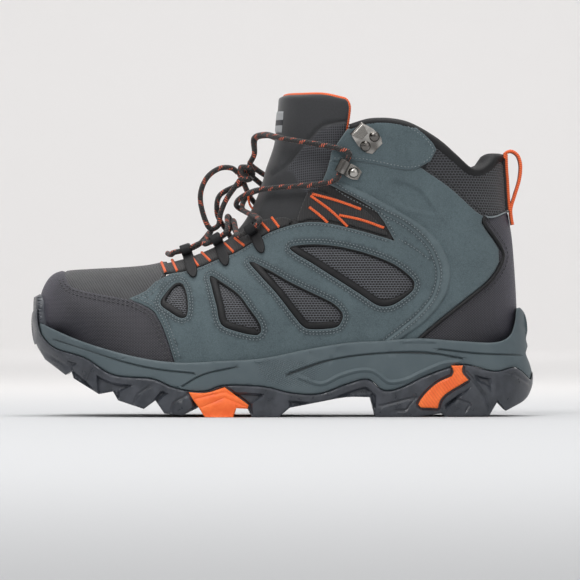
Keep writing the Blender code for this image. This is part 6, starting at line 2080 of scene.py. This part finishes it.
def tongue():
    rear = [*TONGUE_REAR[:-2], (-3, 198.4), (-6.8, 198.0)]
    edge = capped(curve(rear, 3.0), FRONT, FRONT)
    outline = joined(edge, part_of(FRONT, edge[-1], edge[0])[1:-1])
    seam = curve(TONGUE_SEAM, 2.0)
    mesh = shell("tongue", outline, BOTH, TONGUE_TOP, tongue_under, roll=(3.0, 1.6), relief=tongue_puff,
                 features=[(seam, 1.4)], mark=tongue_mesh)  # fmt: skip
    piece = new_piece("tongue", mesh, "tongue", "mesh", LOOKS["tongue"], "tongue")

    def lining_top(xy):
        return tongue_under(xy) + CLEAR

    def lining_bottom(xy):
        return tongue_under(xy) + CLEAR + TONGUE_LINING_THICK

    mesh = shell("tongue_lining", outline, BOTH, lining_top, lining_bottom, roll=(0.5, 0.3), form=COARSE)
    new_piece("tongue_lining", mesh, "tongue", "lining", LOOKS["lining"], "tongue_lining")
    rear = part_of(edge, (26, 139), edge[-1])
    path = []
    for side in BOTH:
        line = resampled(rear, 2.0)
        line = capped(line, None, FRONT)
        depth = TONGUE_TOP + 0.5 * (tongue_under(line) - TONGUE_TOP)
        spots = last_surface(side, line + 0.0, depth, np.arange(len(line)) == len(line) - 1)[0]
        path.append(spots)
    path = np.vstack([path[0], path[1][::-1][1:]])
    new_piece("tongue_piping", tube("tongue_piping", resampled(path, 1.5), 1.3, 12), "tongue",
              "orange_webbing",
              LOOKS["piping"])  # fmt: skip
    front = part_of(FRONT, (-9, 175.5), (-7.8, 188.5))
    label = joined(front, shifted(front, -4.4)[::-1])
    mesh = shell("tongue_label", label, BOTH, TONGUE_TOP - 1.5, TONGUE_TOP - 0.7, roll=(0.5, 0.4))
    new_piece("tongue_label", mesh, "tongue", "label", LOOKS["label"], "tongue_label")
    low, normal = ridge_point(129, 0.9)
    high, _ = ridge_point(141, 0.9)
    out = normal * 8.0
    path = smooth_path([low, low + (high - low) * 0.1 + out * 0.55, (low + high) / 2 + out,
                        low + (high - low) * 0.9 + out * 0.55, high], 1.2)  # fmt: skip
    _, across, _ = frames_along(path, normal)
    new_piece("lace_keeper", strap("lace_keeper", path, normal + 0.001, 9.0, 1.0), "tongue", "webbing",
              LOOKS["webbing"], "lace_keeper")  # fmt: skip
    for number, sign in enumerate((-1, 1), 1):
        edge_path = path + across * 4.6 * sign
        new_piece(f"keeper_edge_{number}", tube(f"keeper_edge_{number}", edge_path, 0.65, 8), "tongue",
                  "orange_webbing", LOOKS["piping"])  # fmt: skip


# ---------------------------------------------------------------- hardware


def plate(name, path, across, width, thickness):
    """A bent plate of even thickness with softened edges."""
    path = np.asarray(path, float)
    across = np.broadcast_to(np.asarray(across, float), path.shape)
    tangent = np.gradient(path, axis=0)
    normal = np.cross(tangent, across)
    normal /= np.linalg.norm(normal, axis=1)[:, None]
    half, thick, soft = np.broadcast_to(width, len(path)) / 2, thickness / 2, 0.28
    corners = []
    for a, b in ((1, 1), (-1, 1), (-1, -1), (1, -1)):
        for i, j in ((0, 1), (0.3, 0.3), (1, 0))[:: 1 if a * b < 0 else -1]:
            corners.append((a, b, i * soft, j * soft))
    rings = [
        [p + s * a * (h - i) + n * b * (thick - j) for a, b, i, j in corners]
        for p, s, n, h in zip(path, across / np.linalg.norm(across, axis=1)[:, None], normal, half)
    ]
    return swept(name, rings, sharp=40)


def dome(name, base, normal, height):
    turn = np.linspace(0, math.pi / 2 * 0.96, 8)
    profile = [(RIVET_RADIUS, height), (RIVET_RADIUS + 0.05, height + 0.35)]
    profile += [(RIVET_RADIUS * math.cos(t) * 0.97, height + 0.5 + 1.75 * math.sin(t)) for t in turn]
    mesh = lathe_mesh(name, profile, base, normal)
    new_piece(name, mesh, "boot", "nickel", LOOKS["nickel"], name)


def hardware():
    for name, side in SIDES.items():
        base, forward, across, normal = side_frame(side, EYELET_RIVET, EYELET_AIM, CLEAR)
        centre = EYELET_BORE + SHEET / 2
        path = [(a, SHEET / 2) for a in np.linspace(-4.4, 5.2, 8)]
        for turn in np.linspace(-75, 232, 30):
            angle = math.radians(turn)
            path.append((EYELET_REACH + centre * math.cos(angle),
                         SHEET / 2 + centre + centre * math.sin(angle)))
        path = np.array([base + forward * a + normal * b for a, b in path])
        widths = np.concatenate([[5.2, 6.9, 7.8, 8.2], np.full(len(path) - 4, 8.4)])
        mesh = plate(f"eyelet_{name}", path, across, widths, SHEET)
        new_piece(f"eyelet_{name}", mesh, f"eyelet_{name}", "nickel", LOOKS["nickel"], f"eyelet_{name}")
        dome(f"eyelet_rivet_{name}", base, normal, SHEET + CLEAR)
        middle = np.mean(HOOK_RIVETS, axis=0)
        base, forward, across, normal = side_frame(side, middle, HOOK_AIM, CLEAR)
        knots = [(-6.5, 0.45), (-3.5, 0.45), (3.5, 0.45), (7.5, 0.6), (10.6, 1.6), (12, 3.6), (11, 5.6),
                 (8, 6.3),
                 (4.6, 6.9)]  # fmt: skip
        fine = smooth_path(knots, 0.8)
        widths = np.interp(along(fine) / along(fine)[-1], along(np.array(knots)) / along(np.array(knots))[-1],
                           [9.0, 13, 14, 12, 10.5, 10, 10, 9, 6.0])  # fmt: skip
        path = np.array([base + forward * a + normal * b for a, b in fine])
        new_piece(f"hook_{name}", plate(f"hook_{name}", path, across, widths, SHEET), "boot", "nickel",
                  LOOKS["nickel"], f"hook_{name}")  # fmt: skip
        for number, place in enumerate(HOOK_RIVETS, 1):
            (spot,), _ = last_surface(side, [place], -CLEAR)
            spot = spot - normal * ((spot - base) @ normal)
            dome(f"hook_rivet_{name}_{number}", spot, normal, SHEET + CLEAR)


def lace_loops():
    thick = LOOP_THICK
    for name, side in SIDES.items():
        for number, (place, aim) in enumerate(LACE_LOOPS):
            base, down, across, normal = side_frame(side, place, aim, LOOP_LIFT)
            tail = [np.add(place, np.multiply(aim, reach)) for reach in np.arange(14.0, 1.0, -1.0)]
            tail, ups = last_surface(side, tail, -(LOOP_LIFT - 0.2 + thick / 2))
            radius = LOOP_BORE + thick / 2
            centre = base + normal * (thick / 2 + radius)
            turns = np.radians(np.linspace(-90, -400, 40))
            ring = [centre + radius * (math.cos(t) * down + math.sin(t) * normal) for t in turns]
            out = [-(math.cos(t) * down + math.sin(t) * normal) for t in turns]
            path = np.vstack([tail, ring])
            ups = np.vstack([ups, out])
            reach = along(path)
            widths = np.interp(reach, [0, 1.0, 3, 6, 10, 14, 18], [2.0, 3.7, 5.4, 6.6, 6.9, 6.4, 6.3])
            piece = f"lace_loop_{name}_{number + 1}"
            new_piece(piece, strap(piece, path, ups, widths, thick), "boot", "webbing", LOOKS["smooth"],
                      piece)


def pull_loop():
    reach = [(118, 1.5), (123, 1.5), (128, 1.9), (137, 5.2), (147, 8.6), (156, 9.6), (161.5, 7.6),
             (163.6, 3.6), (162, 0.4),
             (159, 0.0)]  # fmt: skip
    path = [(np.interp(z, BACK[::-1, 1], BACK[::-1, 0]) + out, 0, z) for z, out in reach]
    path = smooth_path(path, 1.5)
    up = np.array([1.0, 0.0, 0.02])
    new_piece("pull_loop", strap("pull_loop", path, up, 17.0, 1.6), "boot", "webbing", LOOKS["webbing"],
              "pull_loop")
    base = np.array([(np.interp(z, BACK[::-1, 1], BACK[::-1, 0]) - 0.6, 0, z) for z in np.arange(127, 162,
                                                                                                 1.5)])
    new_piece("pull_loop_base", strap("pull_loop_base", base, up, 17.0, 4.2), "boot", "webbing",
              LOOKS["webbing"])
    for number, sign in enumerate((-1, 1), 1):
        edge_path = base + [1.6, 8.3 * sign, 0]
        new_piece(f"pull_loop_base_edge_{number}", tube(f"pull_loop_base_edge_{number}", edge_path, 0.9, 10),
                  "boot",
                  "orange_webbing", LOOKS["piping"])  # fmt: skip
        edge_path = path + [0, 8.3 * sign, 0]
        new_piece(f"pull_loop_edge_{number}", tube(f"pull_loop_edge_{number}", edge_path, 1.0, 10), "boot",
                  "orange_webbing", LOOKS["piping"])  # fmt: skip


# ---------------------------------------------------------------- lace


def lacing():
    under = [*lower_run(LATERAL, 0.0), *upper_run(LATERAL, 0.0)]
    over = [*lower_run(MEDIAL, CROSSING_LIFT), *upper_run(MEDIAL, CROSSING_LIFT)]
    bar = [over_tongue(97.5, -9, 3.4), over_tongue(97.0, 0, 3.6), over_tongue(97.5, 9, 3.4)]
    path = smooth_path([*under[::-1], *bar, *over], 1.6)
    new_piece("lacing", tube("lacing", path, LACE / 2), "boot", "lace", LOOKS["lace"], "lacing")


def knot():
    """A half knot under a bow knot: strands wound over each other round the middle."""
    middle = knot_middle()
    strands = []
    turn = np.linspace(-0.6, 2.1, 60) * math.pi * 1.3
    strands.append(np.stack([-3.4 * np.cos(turn) - 0.5, turn * 1.25 - 3.2, 3.9 * np.sin(turn)], axis=1))
    strands.append(smooth_path([(1, -7.2, -3.2), (-2.6, -4.6, -3.6), (-5.2, -0.8, -0.6), (-4.4, 3.4, 2.6),
                                (0, 6.6, 3.6)], 0.8))
    strands.append(smooth_path([(1.5, -6.8, 3.6), (-2.4, -4.8, 4.0), (-4.6, -1.2, 3.6), (-4.2, 3.2, -1.8),
                                (0.5, 6.4, -3.8)], 0.8))
    ends = [(1.2, 3.4, 6.5), (1.2, -3.4, 6.5), *BOW_FRONT_ENDS, *BOW_INNER_ENDS, END_UPPER_START,
            END_LOWER_START]
    for end in np.array(ends):
        strands.append(smooth_path([end * 0.1, end * 0.6, end * 1.1], 0.8))
    points, faces, weave, start = [], [], [], 0
    for path in strands:
        rings, cloth = tube_rings(path + middle, np.full(len(path), LACE / 2), 14)
        rows, around = rings.shape[:2]
        index = start + np.arange(rows * around).reshape(rows, around)
        a, b = index[:-1], index[1:]
        faces += np.stack([a, np.roll(a, -1, 1), np.roll(b, -1, 1), b], axis=-1).reshape(-1, 4).tolist()
        faces += [index[0][::-1].tolist(), index[-1].tolist()]
        points.append(rings.reshape(-1, 3))
        weave.append(cloth.reshape(-1, 2))
        start += rows * around
    mesh = mesh_of("lace_knot", np.vstack(points), faces, np.vstack(weave), weld=0.001, sharp=60)
    new_piece("lace_knot", mesh, "boot", "lace", LOOKS["lace"], "lace_knot")


def free_cord(name, route):
    path = smooth_path(route, 1.6)
    piece = new_piece(name, tube(name, path, LACE / 2), "boot", "lace", LOOKS["lace"], name)


def free_laces():
    middle = knot_middle()
    first, last = BOW_FRONT_ENDS
    free_cord("bow_front", [middle + first, *BOW_FRONT, middle + last])
    first, last = BOW_INNER_ENDS
    free_cord("bow_inner", [middle + first, *on_inner_side(BOW_INNER), middle + last])
    for name, start, route in (("upper", END_UPPER_START, END_UPPER), ("lower", END_LOWER_START, END_LOWER)):
        points = [middle + start, *on_inner_side(route)]
        path = smooth_path(points, 9.0)
        ahead = path[-1] - path[-2]
        ahead /= np.linalg.norm(ahead)
        radius = AGLET_DIAMETER / 2
        profile = [(radius, -CLEAR - 0.5), (radius, AGLET_LENGTH - 2.2), (radius * 0.9, AGLET_LENGTH - 1.2),
                   (radius * 0.5, AGLET_LENGTH)]
        mesh = lathe_mesh(f"aglet_{name}", profile, path[-1] + ahead * CLEAR, ahead, 20)
        aglet = new_piece(f"aglet_{name}", mesh, "boot", "plastic", LOOKS["plastic"], f"aglet_{name}")
        free_cord(f"lace_end_{name}", points)


def build():
    lacing()
    knot()
    free_laces()
    sole()
    upper()
    linings()
    collar_roll()
    tongue()
    hardware()
    lace_loops()
    pull_loop()


build()
